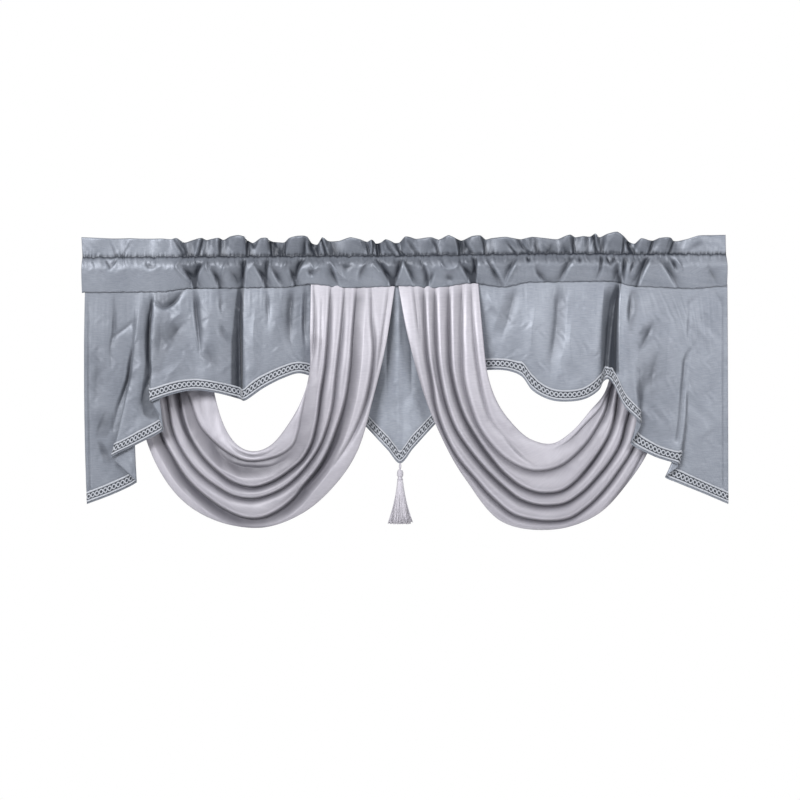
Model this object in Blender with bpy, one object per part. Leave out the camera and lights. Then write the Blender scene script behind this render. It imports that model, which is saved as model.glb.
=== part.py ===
"""A rod-pocket valance of taffeta with two satin swags, gimp braid and a tassel.

Metres, +Z up, the front faces -Y. The origin is the middle of the heading's top edge.
Tables are in millimetres, and every sheet is built about its middle surface.
"""

import math
from collections import namedtuple

import bmesh
import bpy
import numpy as np

MM = 0.001

# Driving dimensions, in millimetres.
FRILL_DROP = 39.0
ROD_RADIUS = 12.5
POCKET_SLACK = 1.2
CLOTH = 1.4
SATIN = 1.2
BRAID_THICK = 1.5
BRAID_WIDTH = 20.0
BRAID_LIP = 3.5
SEAM_HALF = 4.2
SEAM_GAP = 0.8
BRAID_GAP = 0.3

# Each pinch of the heading's gathers: its place along the rod and how full the puff after it is.
Pinch = namedtuple("Pinch", "x puff")
PINCHES = [
    Pinch(-661, 0.10), Pinch(-617, 0.15), Pinch(-567, 0.35), Pinch(-518, 0.30),
    Pinch(-468, 0.75), Pinch(-411, 0.60), Pinch(-374, 0.90), Pinch(-324, 0.80),
    Pinch(-277, 0.65), Pinch(-240, 0.85), Pinch(-203, 0.60), Pinch(-177, 0.95),
    Pinch(-131, 1.00), Pinch(-66, 0.70), Pinch(-37, 0.75), Pinch(-12, 0.95),
    Pinch(29, 0.80), Pinch(68, 0.95), Pinch(111, 0.70), Pinch(144, 0.60),
    Pinch(170, 0.85), Pinch(222, 0.75), Pinch(255, 0.85), Pinch(300, 0.95),
    Pinch(345, 0.90), Pinch(392, 0.95), Pinch(441, 0.55), Pinch(468, 0.60),
    Pinch(515, 0.70), Pinch(556, 0.25), Pinch(610, 0.10), Pinch(661, 0.10),
]

# The seam under the pocket, where everything below is sewn in.
SeamPoint = namedtuple("SeamPoint", "x z")
SEAM = [
    SeamPoint(-661, -114), SeamPoint(-500, -113), SeamPoint(-440, -106), SeamPoint(-250, -104),
    SeamPoint(-190, -97), SeamPoint(-120, -105), SeamPoint(0, -101), SeamPoint(60, -105),
    SeamPoint(140, -95), SeamPoint(203, -103), SeamPoint(260, -93), SeamPoint(420, -91),
    SeamPoint(480, -102), SeamPoint(590, -106), SeamPoint(661, -101),
]
SEAM_WAVE = 2.5

# A section of the heading, from the frill's crest down: depth and height of the front's outside.
# sway swings with the ruffle, and puff pushes the pocket out between two pinches.
Section = namedtuple("Section", "depth sway puff z wall")
FRILL_SECTIONS = [
    Section(1.3, 9.0, 0.0, 0.0, 0.0),
    Section(1.3, 6.5, 0.0, -19.0, 0.0),
]
STITCH_SECTION = Section(2.2, 1.5, 0.0, -FRILL_DROP, 0.0)
POCKET_SECTIONS = [
    Section(12.0, 0.0, 2.5, -FRILL_DROP - 4.0, 1.8),
    Section(ROD_RADIUS + POCKET_SLACK + 2.0, 0.0, 4.0, -FRILL_DROP - 19.0, 1.8),
    Section(9.0, 0.0, 5.0, -FRILL_DROP - 44.0, 1.8),
]
CREST_DIP = 8.0
POCKET_FLOOR = 8.0
POCKET_ROOF = 3.2

# One thread line of a panel: where it leaves the seam, where it is part way down, and its hem.
# Depth grows to the back. A hem that runs back on itself is a fold laid over its neighbour.
Thread = namedtuple("Thread", "top_x mid_x hem_x mid_y hem_y hem_z")
MID_LEVEL = 0.4
LEFT_PANEL = [
    Thread(-655, -658, -653, 7, 13, -549),
    Thread(-614, -616, -600, 5, 13, -529),
    Thread(-560, -560, -553, 7, 13, -506),
    Thread(-554, -557, -550, 4, 3, -502),
    Thread(-548, -560, -597, 0, 2, -457),
    Thread(-544, -558, -599, -3.5, -4, -452),
    Thread(-536, -545, -546, -5, -4, -425),
    Thread(-533, -516, -496, -4, -4, -399),
    Thread(-528, -513, -493, -8, -12, -395),
    Thread(-519, -523, -515, -11, -14, -344),
    Thread(-513, -520, -517, -14, -18, -340),
    Thread(-495, -491, -476, -13, -19, -324),
    Thread(-445, -439, -429, -4, -10, -315),
    Thread(-402, -398, -386, -7, -6, -320),
    Thread(-361, -351, -337, 6, 8, -333),
    Thread(-335, -330, -326, -7, -12, -336),
    Thread(-294, -292, -287, -7, -12, -310),
    Thread(-253, -250, -248, -5, -8, -290),
    Thread(-218, -217, -217, 0, -2, -280),
    Thread(-177, -183, -189, 2, 3, -286),
]
RIGHT_PANEL = [
    Thread(135, 137, 152, 2, 2, -277),
    Thread(172, 174, 177, 0, 0, -273),
    Thread(207, 210, 214, -4, -2, -275),
    Thread(238, 241, 242, -6, -5, -287),
    Thread(265, 268, 263, -8, -8, -315),
    Thread(298, 300, 298, -5, -11, -334),
    Thread(333, 335, 335, -7, -12, -338),
    Thread(372, 372, 372, -9, -10, -332),
    Thread(409, 404, 400, -4, -4, -314),
    Thread(430, 421, 411, 8, 8, -296),
    Thread(438, 430, 419, 5, 6, -292),
    Thread(443, 437, 429, -9, -9, -303),
    Thread(451, 451, 452, -12, -15, -349),
    Thread(460, 464, 481, -13, -19, -379),
    Thread(465, 468, 484, -10, -14, -388),
    Thread(470, 467, 468, -8, -13, -417),
    Thread(475, 469, 465, -3.5, -3, -424),
    Thread(490, 496, 512, -2, -4, -450),
    Thread(512, 529, 560, -1, -2, -467),
    Thread(517, 532, 562, 2, 2, -472),
    Thread(522, 530, 540, 4, 4, -489),
    Thread(527, 531, 538, 7, 13, -494),
    Thread(560, 563, 565, 5, 12, -506),
    Thread(610, 612, 614, 4, 13, -526),
    Thread(664, 666, 668, 6, 13, -549),
]
PENNANT = [
    Thread(-115, -102, -88, 1, 3, -379),
    Thread(-78, -72, -62, 4, 5, -407),
    Thread(-42, -38, -34, 1, 2, -437),
    Thread(-8, -8, -8, 4, 5, -465),
    Thread(28, 22, 19, 1, 2, -434),
    Thread(64, 56, 46, 4, 5, -404),
    Thread(99, 86, 72, 1, 3, -376),
]
PANEL_LEVELS = [0.0, 0.08, 0.18, 0.32, 0.48, 0.65, 0.83, 1.0]
PANEL_STEPS = 2

# One station along a swag, from its front end to its back end: the two edges of the cloth,
# how far back its middle lies, and how deep its pleats are.
Station = namedtuple("Station", "inner_x inner_z outer_x outer_z depth fullness")
LEFT_SWAG = [
    Station(-191, None, -18, None, -2.7, 0.5),
    Station(-192, -191, -37, -222, -24, 7),
    Station(-193, -277, -64, -335, -31, 9),
    Station(-211, -339, -94, -436, -27, 10),
    Station(-242, -392, -141, -508, -19, 11),
    Station(-273, -427, -207, -566, -9, 12),
    Station(-308, -440, -292, -597, 0, 12),
    Station(-342, -428, -384, -584, 9, 12),
    Station(-370, -390, -460, -539, 18, 11),
    Station(-391, -324, -515, -461, 25, 9),
    Station(-404, -232, -549, -357, 27, 8),
    Station(-413, -166, -569, -232, 20, 6),
    Station(-419, None, -581, None, 2.7, 0.5),
]
RIGHT_SWAG = [
    Station(152, None, -12, None, -2.7, 0.5),
    Station(160, -191, 7, -201, -24, 7),
    Station(170, -279, 42, -326, -31, 9),
    Station(190, -338, 82, -422, -27, 10),
    Station(221, -382, 126, -497, -19, 11),
    Station(258, -414, 199, -583, -9, 12),
    Station(304, -424, 304, -601, 0, 12),
    Station(346, -399, 397, -571, 9, 12),
    Station(384, -357, 466, -501, 18, 11),
    Station(417, -314, 515, -420, 25, 9),
    Station(438, -232, 549, -316, 27, 8),
    Station(452, -166, 569, -211, 20, 6),
    Station(458, None, 579, None, 2.7, 0.5),
]
# Where each pleat ends, as a share of the way from the inner to the outer edge.
Pleat = namedtuple("Pleat", "leg bottom")
PLEATS = [
    Pleat(0.00, 0.00), Pleat(0.10, 0.07), Pleat(0.24, 0.29), Pleat(0.40, 0.48),
    Pleat(0.58, 0.67), Pleat(0.82, 0.88), Pleat(1.00, 1.00),
]
PLEAT_STEPS = 4
STATION_STEPS = 2
PLEAT_DROOP = 0.18

# The tassel: a looped cord, a wound head and a skirt of locks.
TASSEL_X = -8.0
LOOP_DROP = 12.0
LOOP_HALF_WIDTH = 2.4
LOOP_CORD_RADIUS = 1.1
HeadRing = namedtuple("HeadRing", "drop radius")
TASSEL_HEAD = [
    HeadRing(0.0, 2.2), HeadRing(2.0, 4.6), HeadRing(7.0, 6.2), HeadRing(13.0, 6.4),
    HeadRing(16.0, 4.6), HeadRing(19.0, 4.6), HeadRing(21.0, 6.6),
]
# The locks stand in circles. Each circle lies between two radii, at its roots and at its ends.
LOCKS_ROUND = 14
Circle = namedtuple("Circle", "root end")
LOCK_CIRCLES = [Circle(1.0, 2.0), Circle(2.8, 8.5), Circle(4.7, 16.0), Circle(6.6, 25.0)]
LOCK_LEVELS = [0.03, 0.45, 1.0]
LOCK_FILL = 0.66
SKIRT_DROP = 93.0
LOCK_UNEVEN = 4.0

TAFFETA = ("blue_grey_taffeta", (0.33, 0.37, 0.44), 0.42)
SATIN_LOOK = ("silver_lilac_satin", (0.55, 0.53, 0.60), 0.36)
GIMP = ("grey_gimp_braid", (0.30, 0.34, 0.38), 0.70)
YARN = ("silver_yarn", (0.50, 0.48, 0.53), 0.60)


def clear_scene():
    for thing in list(bpy.data.objects):
        bpy.data.objects.remove(thing)


def material(look):
    name, colour, roughness = look
    made = bpy.data.materials.get(name) or bpy.data.materials.new(name)
    made.use_nodes = True
    shader = made.node_tree.nodes["Principled BSDF"]
    shader.inputs["Base Color"].default_value = (*colour, 1.0)
    shader.inputs["Roughness"].default_value = roughness
    shader.inputs["Metallic"].default_value = 0.0
    return made


def add_object(name, points, faces, look):
    """One closed mesh object from points in millimetres, with its faces turned outwards."""
    mesh = bpy.data.meshes.new(name)
    mesh.from_pydata([tuple(p * MM) for p in points], [], faces)
    work = bmesh.new()
    work.from_mesh(mesh)
    bmesh.ops.recalc_face_normals(work, faces=work.faces)
    work.to_mesh(mesh)
    work.free()
    mesh.shade_smooth()
    made = bpy.data.objects.new(name, mesh)
    made.data.materials.append(material(look))
    bpy.context.scene.collection.objects.link(made)
    return made


def ease(t):
    return t * t * (3 - 2 * t)


def smooth(values, steps, knots=None):
    """A smooth curve through the values, with this many steps from each to the next.

    The knots say how far apart the values lie, so that a close pair doesn't overshoot.
    """
    known = np.asarray(values, float)
    spans = np.ones(len(known) - 1) if knots is None else np.diff(knots)
    slopes = np.diff(known) / spans
    inner = (slopes[:-1] * spans[1:] + slopes[1:] * spans[:-1]) / (spans[:-1] + spans[1:])
    pulls = np.concatenate([slopes[:1], inner, slopes[-1:]])
    curve = []
    for i, span in enumerate(spans):
        for t in np.arange(steps) / steps:
            reach = ease(t)
            lead, trail = t * (1 - t) ** 2 * span, t**2 * (t - 1) * span
            mixed = known[i] * (1 - reach) + known[i + 1] * reach
            curve.append(mixed + lead * pulls[i] + trail * pulls[i + 1])
    curve.append(known[-1])
    return np.array(curve)


def straight(values, steps):
    """Straight runs through the values, with the same steps as the smooth curve."""
    known = np.asarray(values, float)
    return np.interp(np.arange((len(known) - 1) * steps + 1) / steps, np.arange(len(known)), known)


def seam_z(x):
    """Height of the seam, eased from each row of its table to the next."""
    places = np.array([p.x for p in SEAM], float)
    heights = np.array([p.z for p in SEAM], float)
    x = np.clip(x, places[0], places[-1])
    i = np.clip(np.searchsorted(places, x, side="right") - 1, 0, len(places) - 2)
    t = (x - places[i]) / (places[i + 1] - places[i])
    return heights[i] + (heights[i + 1] - heights[i]) * ease(t)


def gather(x):
    """How far the heading puffs out at x, and which way its ruffle sways, from -1 to 1."""
    places = np.array([p.x for p in PINCHES], float)
    puffs = np.array([p.puff for p in PINCHES], float)
    i = np.clip(np.searchsorted(places, x, side="right") - 1, 0, len(places) - 2)
    t = np.clip((x - places[i]) / (places[i + 1] - places[i]), 0, 1)
    puff = puffs[i] * np.sin(math.pi * t)
    return puff, np.where(i % 2 == 0, -puff, puff)


def seam_y(x):
    return SEAM_WAVE * gather(x)[1]


def through(top, middle, hem, level):
    """The curve through a thread's top, its middle and its hem, at this share of the way down."""
    return (
        top * (level - MID_LEVEL) * (level - 1) / MID_LEVEL
        + middle * level * (level - 1) / (MID_LEVEL * (MID_LEVEL - 1))
        + hem * level * (level - MID_LEVEL) / (1 - MID_LEVEL)
    )


def sheet_grid(threads, steps):
    """Middle surface of a hanging piece: levels down it, then columns across it.

    The last two levels but one are the braid's edges, so the braid can lie on the cloth.
    """
    apart = [math.dist(a, b) ** 0.5 for a, b in zip(threads, threads[1:])]
    knots = np.concatenate([[0.0], np.cumsum(apart)])
    top_x = straight([t.top_x for t in threads], steps)
    mid_x, hem_x, mid_y, hem_y, hem_z = (
        smooth([getattr(t, field) for t in threads], steps, knots)
        for field in ("mid_x", "hem_x", "mid_y", "hem_y", "hem_z")
    )
    top_y, top_z = seam_y(top_x), seam_z(top_x) - SEAM_GAP
    run = np.hypot(np.gradient(hem_x), np.gradient(hem_y))
    slope = np.abs(np.gradient(hem_z)) / np.maximum(run, 1e-6)
    lengthened = np.minimum(np.hypot(1, slope), 1.3) / (top_z - hem_z)
    braid_top = 1 - (BRAID_WIDTH + BRAID_LIP) * lengthened
    braid_foot = 1 - BRAID_LIP * lengthened
    shares = [level * braid_top for level in PANEL_LEVELS]
    shares += [braid_foot, np.ones_like(hem_z)]
    rows = [
        np.stack(
            [
                through(top_x, mid_x, hem_x, share),
                through(top_y, mid_y, hem_y, share),
                top_z + share * (hem_z - top_z),
            ],
            axis=1,
        )
        for share in shares
    ]
    return np.stack(rows)


def grid_normals(grid):
    """Unit normals of a grid of points, towards the front where the grid runs left to right."""
    down, across = np.gradient(grid, axis=0), np.gradient(grid, axis=1)
    normals = np.cross(down, across)
    return normals / np.linalg.norm(normals, axis=2, keepdims=True)


def add_sheet(name, grid, thickness, look, lift=0.0, normals=None):
    """A closed sheet about the grid, lifted off it along its normals."""
    if normals is None:
        normals = grid_normals(grid)
    levels, columns = grid.shape[:2]
    front = grid + normals * (lift + thickness / 2)
    back = grid + normals * (lift - thickness / 2)
    points = np.concatenate([front.reshape(-1, 3), back.reshape(-1, 3)])
    behind = levels * columns
    faces = []
    for i in range(levels - 1):
        for j in range(columns - 1):
            a = i * columns + j
            b = a + columns
            # cut along the same diagonal on every layer, so that layers stay parted
            for triangle in ((a, a + 1, b + 1), (a, b + 1, b)):
                faces.append(triangle)
                faces.append(tuple(behind + k for k in reversed(triangle)))
    rim = [j for j in range(columns)]
    rim += [i * columns + columns - 1 for i in range(1, levels)]
    rim += [(levels - 1) * columns + j for j in range(columns - 2, -1, -1)]
    rim += [i * columns for i in range(levels - 2, 0, -1)]
    for a, b in zip(rim, rim[1:] + rim[:1]):
        faces.append((a, behind + a, behind + b, b))
    return add_object(name, points, faces, look)


def add_panel(name, threads):
    """A taffeta panel and the gimp braid along its hem."""
    grid = sheet_grid(threads, PANEL_STEPS)
    normals = grid_normals(grid)
    add_sheet(name, grid, CLOTH, TAFFETA, normals=normals)
    lift = CLOTH / 2 + BRAID_GAP + BRAID_THICK / 2
    band, band_normals = grid[-3:-1], normals[-3:-1]
    add_sheet(f"{name}_braid", band, BRAID_THICK, GIMP, lift=lift, normals=band_normals)
    return grid


def swag_grid(stations, steps):
    """Middle surface of a swag: stations along it, then columns across its pleats."""
    ends = (stations[0], stations[-1])
    filled = [
        s._replace(
            inner_z=float(seam_z(s.inner_x)) - SEAM_GAP,
            outer_z=float(seam_z(s.outer_x)) - SEAM_GAP,
        )
        if s in ends
        else s
        for s in stations
    ]
    inner_x, inner_z, outer_x, outer_z, depth, fullness = (
        smooth([getattr(s, field) for s in filled], steps) for field in Station._fields
    )
    # 0 at the two ends and 1 half way along, where the pleats lie as they do at the bottom
    along = np.linspace(0, 1, len(depth))
    low = np.sin(math.pi * along) ** 2
    legs = np.array([p.leg for p in PLEATS])
    bottoms = np.array([p.bottom for p in PLEATS])
    rows = []
    for k in range(len(depth)):
        edges = legs + (bottoms - legs) * low[k]
        share, ripple = [], []
        for a, b in zip(edges, edges[1:]):
            for t in np.arange(PLEAT_STEPS) / PLEAT_STEPS:
                ridge = math.sin(math.pi * t)
                share.append(a + (b - a) * (t + PLEAT_DROOP * ridge * low[k]))
                ripple.append(0.5 - ridge)
        share, ripple = np.array(share + [1.0]), np.array(ripple + [0.5])
        x = inner_x[k] + (outer_x[k] - inner_x[k]) * share
        z = inner_z[k] + (outer_z[k] - inner_z[k]) * share
        y = depth[k] + fullness[k] * ripple
        if k in (0, len(depth) - 1):
            y = y + seam_y(x)
            z = seam_z(x) - SEAM_GAP
        rows.append(np.stack([x, y, z], axis=1))
    return np.stack(rows)


def heading_stations():
    """Places along the rod: each pinch and two places in the puff that follows it."""
    places = [p.x for p in PINCHES]
    return straight(places, 3)


def heading_sections(x):
    """Outer and inner loops of the heading at x, as (y, z) points from the front crest round."""
    puff, sway = (float(v) for v in gather(x))
    end = min(1.0, (PINCHES[-1].x - abs(x)) / 60.0)
    crest = -CREST_DIP * (1 - puff) * end
    frill = [
        (s.depth, s.sway * sway, s.z + (crest if s.z == 0 else crest / 2))
        for s in FRILL_SECTIONS
    ]
    stitch = (STITCH_SECTION.depth, STITCH_SECTION.sway * sway, STITCH_SECTION.z)
    low_z, low_y = float(seam_z(x)), float(seam_y(x))
    front = [(sway_y - half, z) for half, sway_y, z in frill + [stitch]]
    back = [(sway_y + half, z) for half, sway_y, z in frill + [stitch]]
    inner_front, inner_back = [], []
    for s in POCKET_SECTIONS:
        half = s.depth + s.puff * puff
        front.append((-half, s.z))
        back.append((s.depth + 0.5 * s.puff * puff, s.z))
        inner_front.append((-half + s.wall, s.z))
        inner_back.append((s.depth + 0.5 * s.puff * puff - s.wall, s.z))
    front.append((low_y - SEAM_HALF, low_z))
    back.append((low_y + SEAM_HALF, low_z))
    roof = (0.0, -FRILL_DROP - POCKET_ROOF)
    floor = (low_y, max(low_z + POCKET_FLOOR, POCKET_SECTIONS[-1].z - 12.0))
    return front, back, [roof, *inner_front, floor], [roof, *inner_back, floor]


def add_heading():
    """The frill over the rod pocket, with the pocket open from end to end."""
    points, rings = [], []
    for x in heading_stations():
        front, back, inner_front, inner_back = heading_sections(x)
        outer = front + back[::-1]
        inner = inner_front + inner_back[-2:0:-1]
        base = len(points)
        points += [(x, y, z) for y, z in outer + inner]
        rings.append((base, len(outer), len(inner)))
    faces = []
    for (a, n_outer, n_inner), (b, _, _) in zip(rings, rings[1:]):
        for start, count in ((0, n_outer), (n_outer, n_inner)):
            for k in range(count):
                m = (k + 1) % count
                quad = (a + start + k, a + start + m, b + start + m, b + start + k)
                faces.append(quad if start == 0 else quad[::-1])
    frill_rows, wall_rows = len(FRILL_SECTIONS), len(POCKET_SECTIONS)
    for base, n_outer, n_inner in (rings[0], rings[-1]):
        last = n_outer - 1
        inside = base + n_outer
        cap = [
            (base + k, base + k + 1, base + last - k - 1, base + last - k)
            for k in range(frill_rows)
        ]
        stitch, back_stitch = base + frill_rows, base + last - frill_rows
        cap.append((stitch, inside, back_stitch))
        for k in range(wall_rows + 1):
            cap.append((stitch + k, stitch + k + 1, inside + k + 1, inside + k))
            far = inside + (n_inner - k) % n_inner
            cap.append((back_stitch - k, far, inside + n_inner - k - 1, back_stitch - k - 1))
        cap.append((stitch + wall_rows + 1, back_stitch - wall_rows - 1, inside + wall_rows + 1))
        faces += cap
    add_object("heading", np.array(points), faces, TAFFETA)


def add_loop(top_z, y):
    """The tassel's cord loop, from the pennant's point to the tassel's head."""
    half = LOOP_DROP / 2 - LOOP_CORD_RADIUS - BRAID_GAP
    curve = bpy.data.curves.new("tassel_loop", "CURVE")
    curve.dimensions = "3D"
    curve.bevel_depth = LOOP_CORD_RADIUS * MM
    curve.bevel_resolution = 1
    line = curve.splines.new("POLY")
    turns = 12
    line.points.add(turns - 1)
    for k in range(turns):
        angle = math.tau * k / turns
        x = TASSEL_X + LOOP_HALF_WIDTH * math.cos(angle)
        z = top_z - LOOP_DROP / 2 + half * math.sin(angle)
        line.points[k].co = (x * MM, y * MM, z * MM, 1.0)
    line.use_cyclic_u = True
    made = bpy.data.objects.new("tassel_loop", curve)
    made.data.materials.append(material(YARN))
    bpy.context.scene.collection.objects.link(made)


def add_tassel(top_z, y):
    """The wound head, and under it a skirt of locks that all grow out of the head's base."""
    points, faces = [], []
    sector = math.tau / LOCKS_ROUND

    def point(radius, angle, z):
        points.append((TASSEL_X + radius * math.cos(angle), y + radius * math.sin(angle), z))
        return len(points) - 1

    def ring(radius, z):
        return [point(radius, sector * k, z) for k in range(LOCKS_ROUND)]

    def around(upper, lower):
        for k in range(len(upper)):
            m = (k + 1) % len(upper)
            faces.append((upper[k], upper[m], lower[m], lower[k]))

    rings = [ring(r.radius, top_z - r.drop) for r in TASSEL_HEAD]
    faces.append(tuple(rings[0]))
    for upper, lower in zip(rings, rings[1:]):
        around(upper, lower)
    base_z = top_z - TASSEL_HEAD[-1].drop
    roots = [ring(c.root, base_z) for c in LOCK_CIRCLES[:-1]] + [rings[-1]]
    faces.append(tuple(roots[0][::-1]))
    for i, (inner, outer) in enumerate(zip(LOCK_CIRCLES, LOCK_CIRCLES[1:])):
        for k in range(LOCKS_ROUND):
            m = (k + 1) % LOCKS_ROUND
            upper = [roots[i][k], roots[i][m], roots[i + 1][m], roots[i + 1][k]]
            length = SKIRT_DROP - LOCK_UNEVEN * ((k * 5 + i * 3) % 7) / 6
            for level in LOCK_LEVELS:
                spread = 0.3 * level + 0.7 * level**2
                near = inner.root + (inner.end - inner.root) * spread
                far = outer.root + (outer.end - outer.root) * spread
                trim = (far - near) * (1 - LOCK_FILL) / 2
                side = sector * LOCK_FILL / 2
                angle = sector * (k + 0.5)
                z = base_z - length * level
                lower = [
                    point(near + trim, angle - side, z),
                    point(near + trim, angle + side, z),
                    point(far - trim, angle + side, z),
                    point(far - trim, angle - side, z),
                ]
                around(upper, lower)
                upper = lower
            faces.append(tuple(upper[::-1]))
    add_object("tassel", np.array(points), faces, YARN)


def main():
    clear_scene()
    add_heading()
    add_panel("panel_left", LEFT_PANEL)
    add_panel("panel_right", RIGHT_PANEL)
    pennant = add_panel("pennant", PENNANT)
    add_sheet("swag_left", swag_grid(LEFT_SWAG, STATION_STEPS), SATIN, SATIN_LOOK)
    add_sheet("swag_right", swag_grid(RIGHT_SWAG, STATION_STEPS), SATIN, SATIN_LOOK)
    tip = pennant[-1][np.argmin(pennant[-1][:, 2])]
    add_loop(tip[2] - BRAID_GAP, tip[1])
    add_tassel(tip[2] - LOOP_DROP, tip[1])


main()
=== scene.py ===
"""The looks of the rod-pocket swag valance: cloth with its creases, gimp braid and yarn."""

import math
from collections import namedtuple

import bpy
import numpy as np
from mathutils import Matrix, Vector


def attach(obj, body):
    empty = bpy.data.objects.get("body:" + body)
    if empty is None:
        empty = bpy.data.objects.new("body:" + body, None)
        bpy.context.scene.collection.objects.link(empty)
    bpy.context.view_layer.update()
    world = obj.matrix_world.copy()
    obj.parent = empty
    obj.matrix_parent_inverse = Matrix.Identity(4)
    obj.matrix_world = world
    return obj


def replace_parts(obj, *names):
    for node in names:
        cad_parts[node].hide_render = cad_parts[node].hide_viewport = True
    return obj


MM = 0.001

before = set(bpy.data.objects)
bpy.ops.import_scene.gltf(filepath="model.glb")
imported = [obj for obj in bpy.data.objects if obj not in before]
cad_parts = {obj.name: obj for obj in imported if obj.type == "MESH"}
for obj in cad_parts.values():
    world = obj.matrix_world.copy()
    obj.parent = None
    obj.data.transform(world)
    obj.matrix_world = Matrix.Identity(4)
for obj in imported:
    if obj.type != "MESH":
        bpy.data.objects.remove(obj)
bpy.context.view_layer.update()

# The photograph: millimetres a pixel, and the pixel where the frame's origin shows.
MM_A_PIXEL = 2.053
ORIGIN_PX = 404.0
ORIGIN_PY = 237.0
PHOTO_SIDE = 800
# The camera and the floor, in metres.
CAMERA_DISTANCE = 4.2
FLOOR_Z = -2.0
FLOOR_HALF = 3.0
SENSOR_MM = 36.0

# Cloth, in millimetres.
TAFFETA_THICK = 0.7
SATIN_THICK = 0.6
TUCK = 4.0
FRILL_HALF = 0.8
BRAID_THICK = 1.1
BRAID_WIDTH = 20.0
BRAID_LIP = 3.5
BRAID_LIFT = 1.3
CHAIN_PITCH = 9.4
CHAIN_RADIUS = 3.7
CHAIN_MIDDLE = 10.0
CORD_OFFSET = 8.2

# The heading, in millimetres: its ends, its grid, where it is gathered and where satin comes out
# from under it, how high its frill and pocket are, and how the pocket rounds out over the rod.
HEADING_WEST, HEADING_EAST = -661.0, 663.0
HEADING_WIDTH = 1322
HEADING_STEP = 1.6
GATHER_WEST, GATHER_EAST, GATHER_FADE = -480, 565, 25
SATIN_WEST, SATIN_EAST, SATIN_FADE = -207, 170, 12
FRILL_RUN = 37
POCKET_RUN = 58
BELLY = 15.0
BELLY_RUN = 25.0

# Grids, in millimetres a step or in steps.
BRAID_STEP = 1.15
BRAID_ACROSS = 18
SWAG_ROUND = 231
SWAG_ACROSS = 121
FRONT_LEVELS, BACK_LEVELS = 26, 10
FRILL_FRONT_LEVELS, FRILL_BACK_LEVELS = 11, 5


def to_x(px):
    return (np.asarray(px, float) - ORIGIN_PX) * MM_A_PIXEL


def to_z(py):
    return -(np.asarray(py, float) - ORIGIN_PY) * MM_A_PIXEL


def table(kind, *rows):
    """Rows under their columns' names."""
    return [kind(*row) for row in rows]


# A fold of the frill, in the photograph's pixels: where it meets the crest, how high the crest
# is there, where it meets the stitching, and how far forward (negative) or back it lies, in mm.
Ruffle = namedtuple("Ruffle", "crest_px crest_py stitch_px depth")
RUFFLES = table(
    Ruffle,
    (81.5, 237.3, 82.5, 0), (100, 238.2, 97, -3), (112, 238.6, 116, 1), (121, 238.5, 122, 2.5),
    (130, 238.4, 126, -2), (141, 238.8, 140, -1), (150, 238.8, 150, 1), (163, 238.8, 163, -3),
    (171, 239.4, 172, 0), (176.8, 238.3, 181, -7), (183.8, 242.5, 187, 6), (193, 240, 193, 3),
    (202.5, 238.3, 198, -5), (206, 240, 203, 4), (212, 239, 210, 0), (219.5, 238.3, 217, -6),
    (223, 240, 221.5, 4), (230, 236.8, 229, -2), (238.6, 235.5, 237, -8), (245, 237.2, 244, -7),
    (248.5, 241, 248, 6), (253, 243, 252, 3), (261, 238.3, 258, -4), (268, 238.5, 267, -6),
    (271, 241, 270.5, 5), (278, 242.3, 278, 2), (284.5, 242.3, 284, 5), (289, 238.5, 288, -4),
    (298, 236.2, 297, -8), (307.5, 237.2, 306, -7), (311.5, 243, 309, 5), (317.5, 244.4, 316, 6),
    (322.3, 237.6, 323, -7), (328, 241, 328, 3), (339, 241, 338, 1), (350.3, 237.6, 349, -6),
    (360, 239.7, 362, -8), (367.5, 241.8, 370, 4), (372, 239.7, 374, -5), (376, 243.2, 377.5, 6),
    (381, 242.5, 381, 3), (385.4, 239.7, 385, -8), (395.2, 243.2, 397.5, -2),
    (399.4, 242.5, 402, 6), (405, 237, 407, -7), (416, 239, 418, 0), (431.7, 237.6, 428, -6),
    (438.7, 239.7, 436, 2), (448.6, 235.5, 446, -8), (456.5, 239, 457.5, -7),
    (461.2, 240.5, 462, 5), (472.4, 236.2, 468, -4), (480.8, 236, 479, -7),
    (485.5, 239.5, 484, 3), (491, 238.3, 490, 3), (505.7, 237.2, 506, -6),
    (515.8, 238.9, 518, -4), (521.5, 239.3, 522.5, 4), (526, 238.3, 528.5, -3),
    (532, 236.9, 533, 2), (543, 237.9, 543, 1), (557.4, 239.3, 556, 2), (570.3, 235, 568.5, -7),
    (575, 237.2, 573, 4), (583, 236.3, 582, -2), (591, 236.4, 588, 3), (594.8, 233.9, 594, -9),
    (599.2, 237.2, 600, 4), (607.6, 233.9, 606, -5), (617, 232.2, 615, -9),
    (623.4, 236.5, 622, -6), (629.1, 241.5, 627.5, 5), (634.9, 243.7, 632.5, 6),
    (640.6, 238.6, 638, -5), (649, 240.5, 646, -3), (653.5, 240.5, 651, 5),
    (659.3, 238.2, 658, -3), (670.5, 238.3, 667, -7), (674, 240.8, 671, 5),
    (686.5, 239.3, 686, 1), (698, 235.8, 698, -4), (712, 235.3, 712, -1), (725.5, 235, 726, 0),
)

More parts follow.
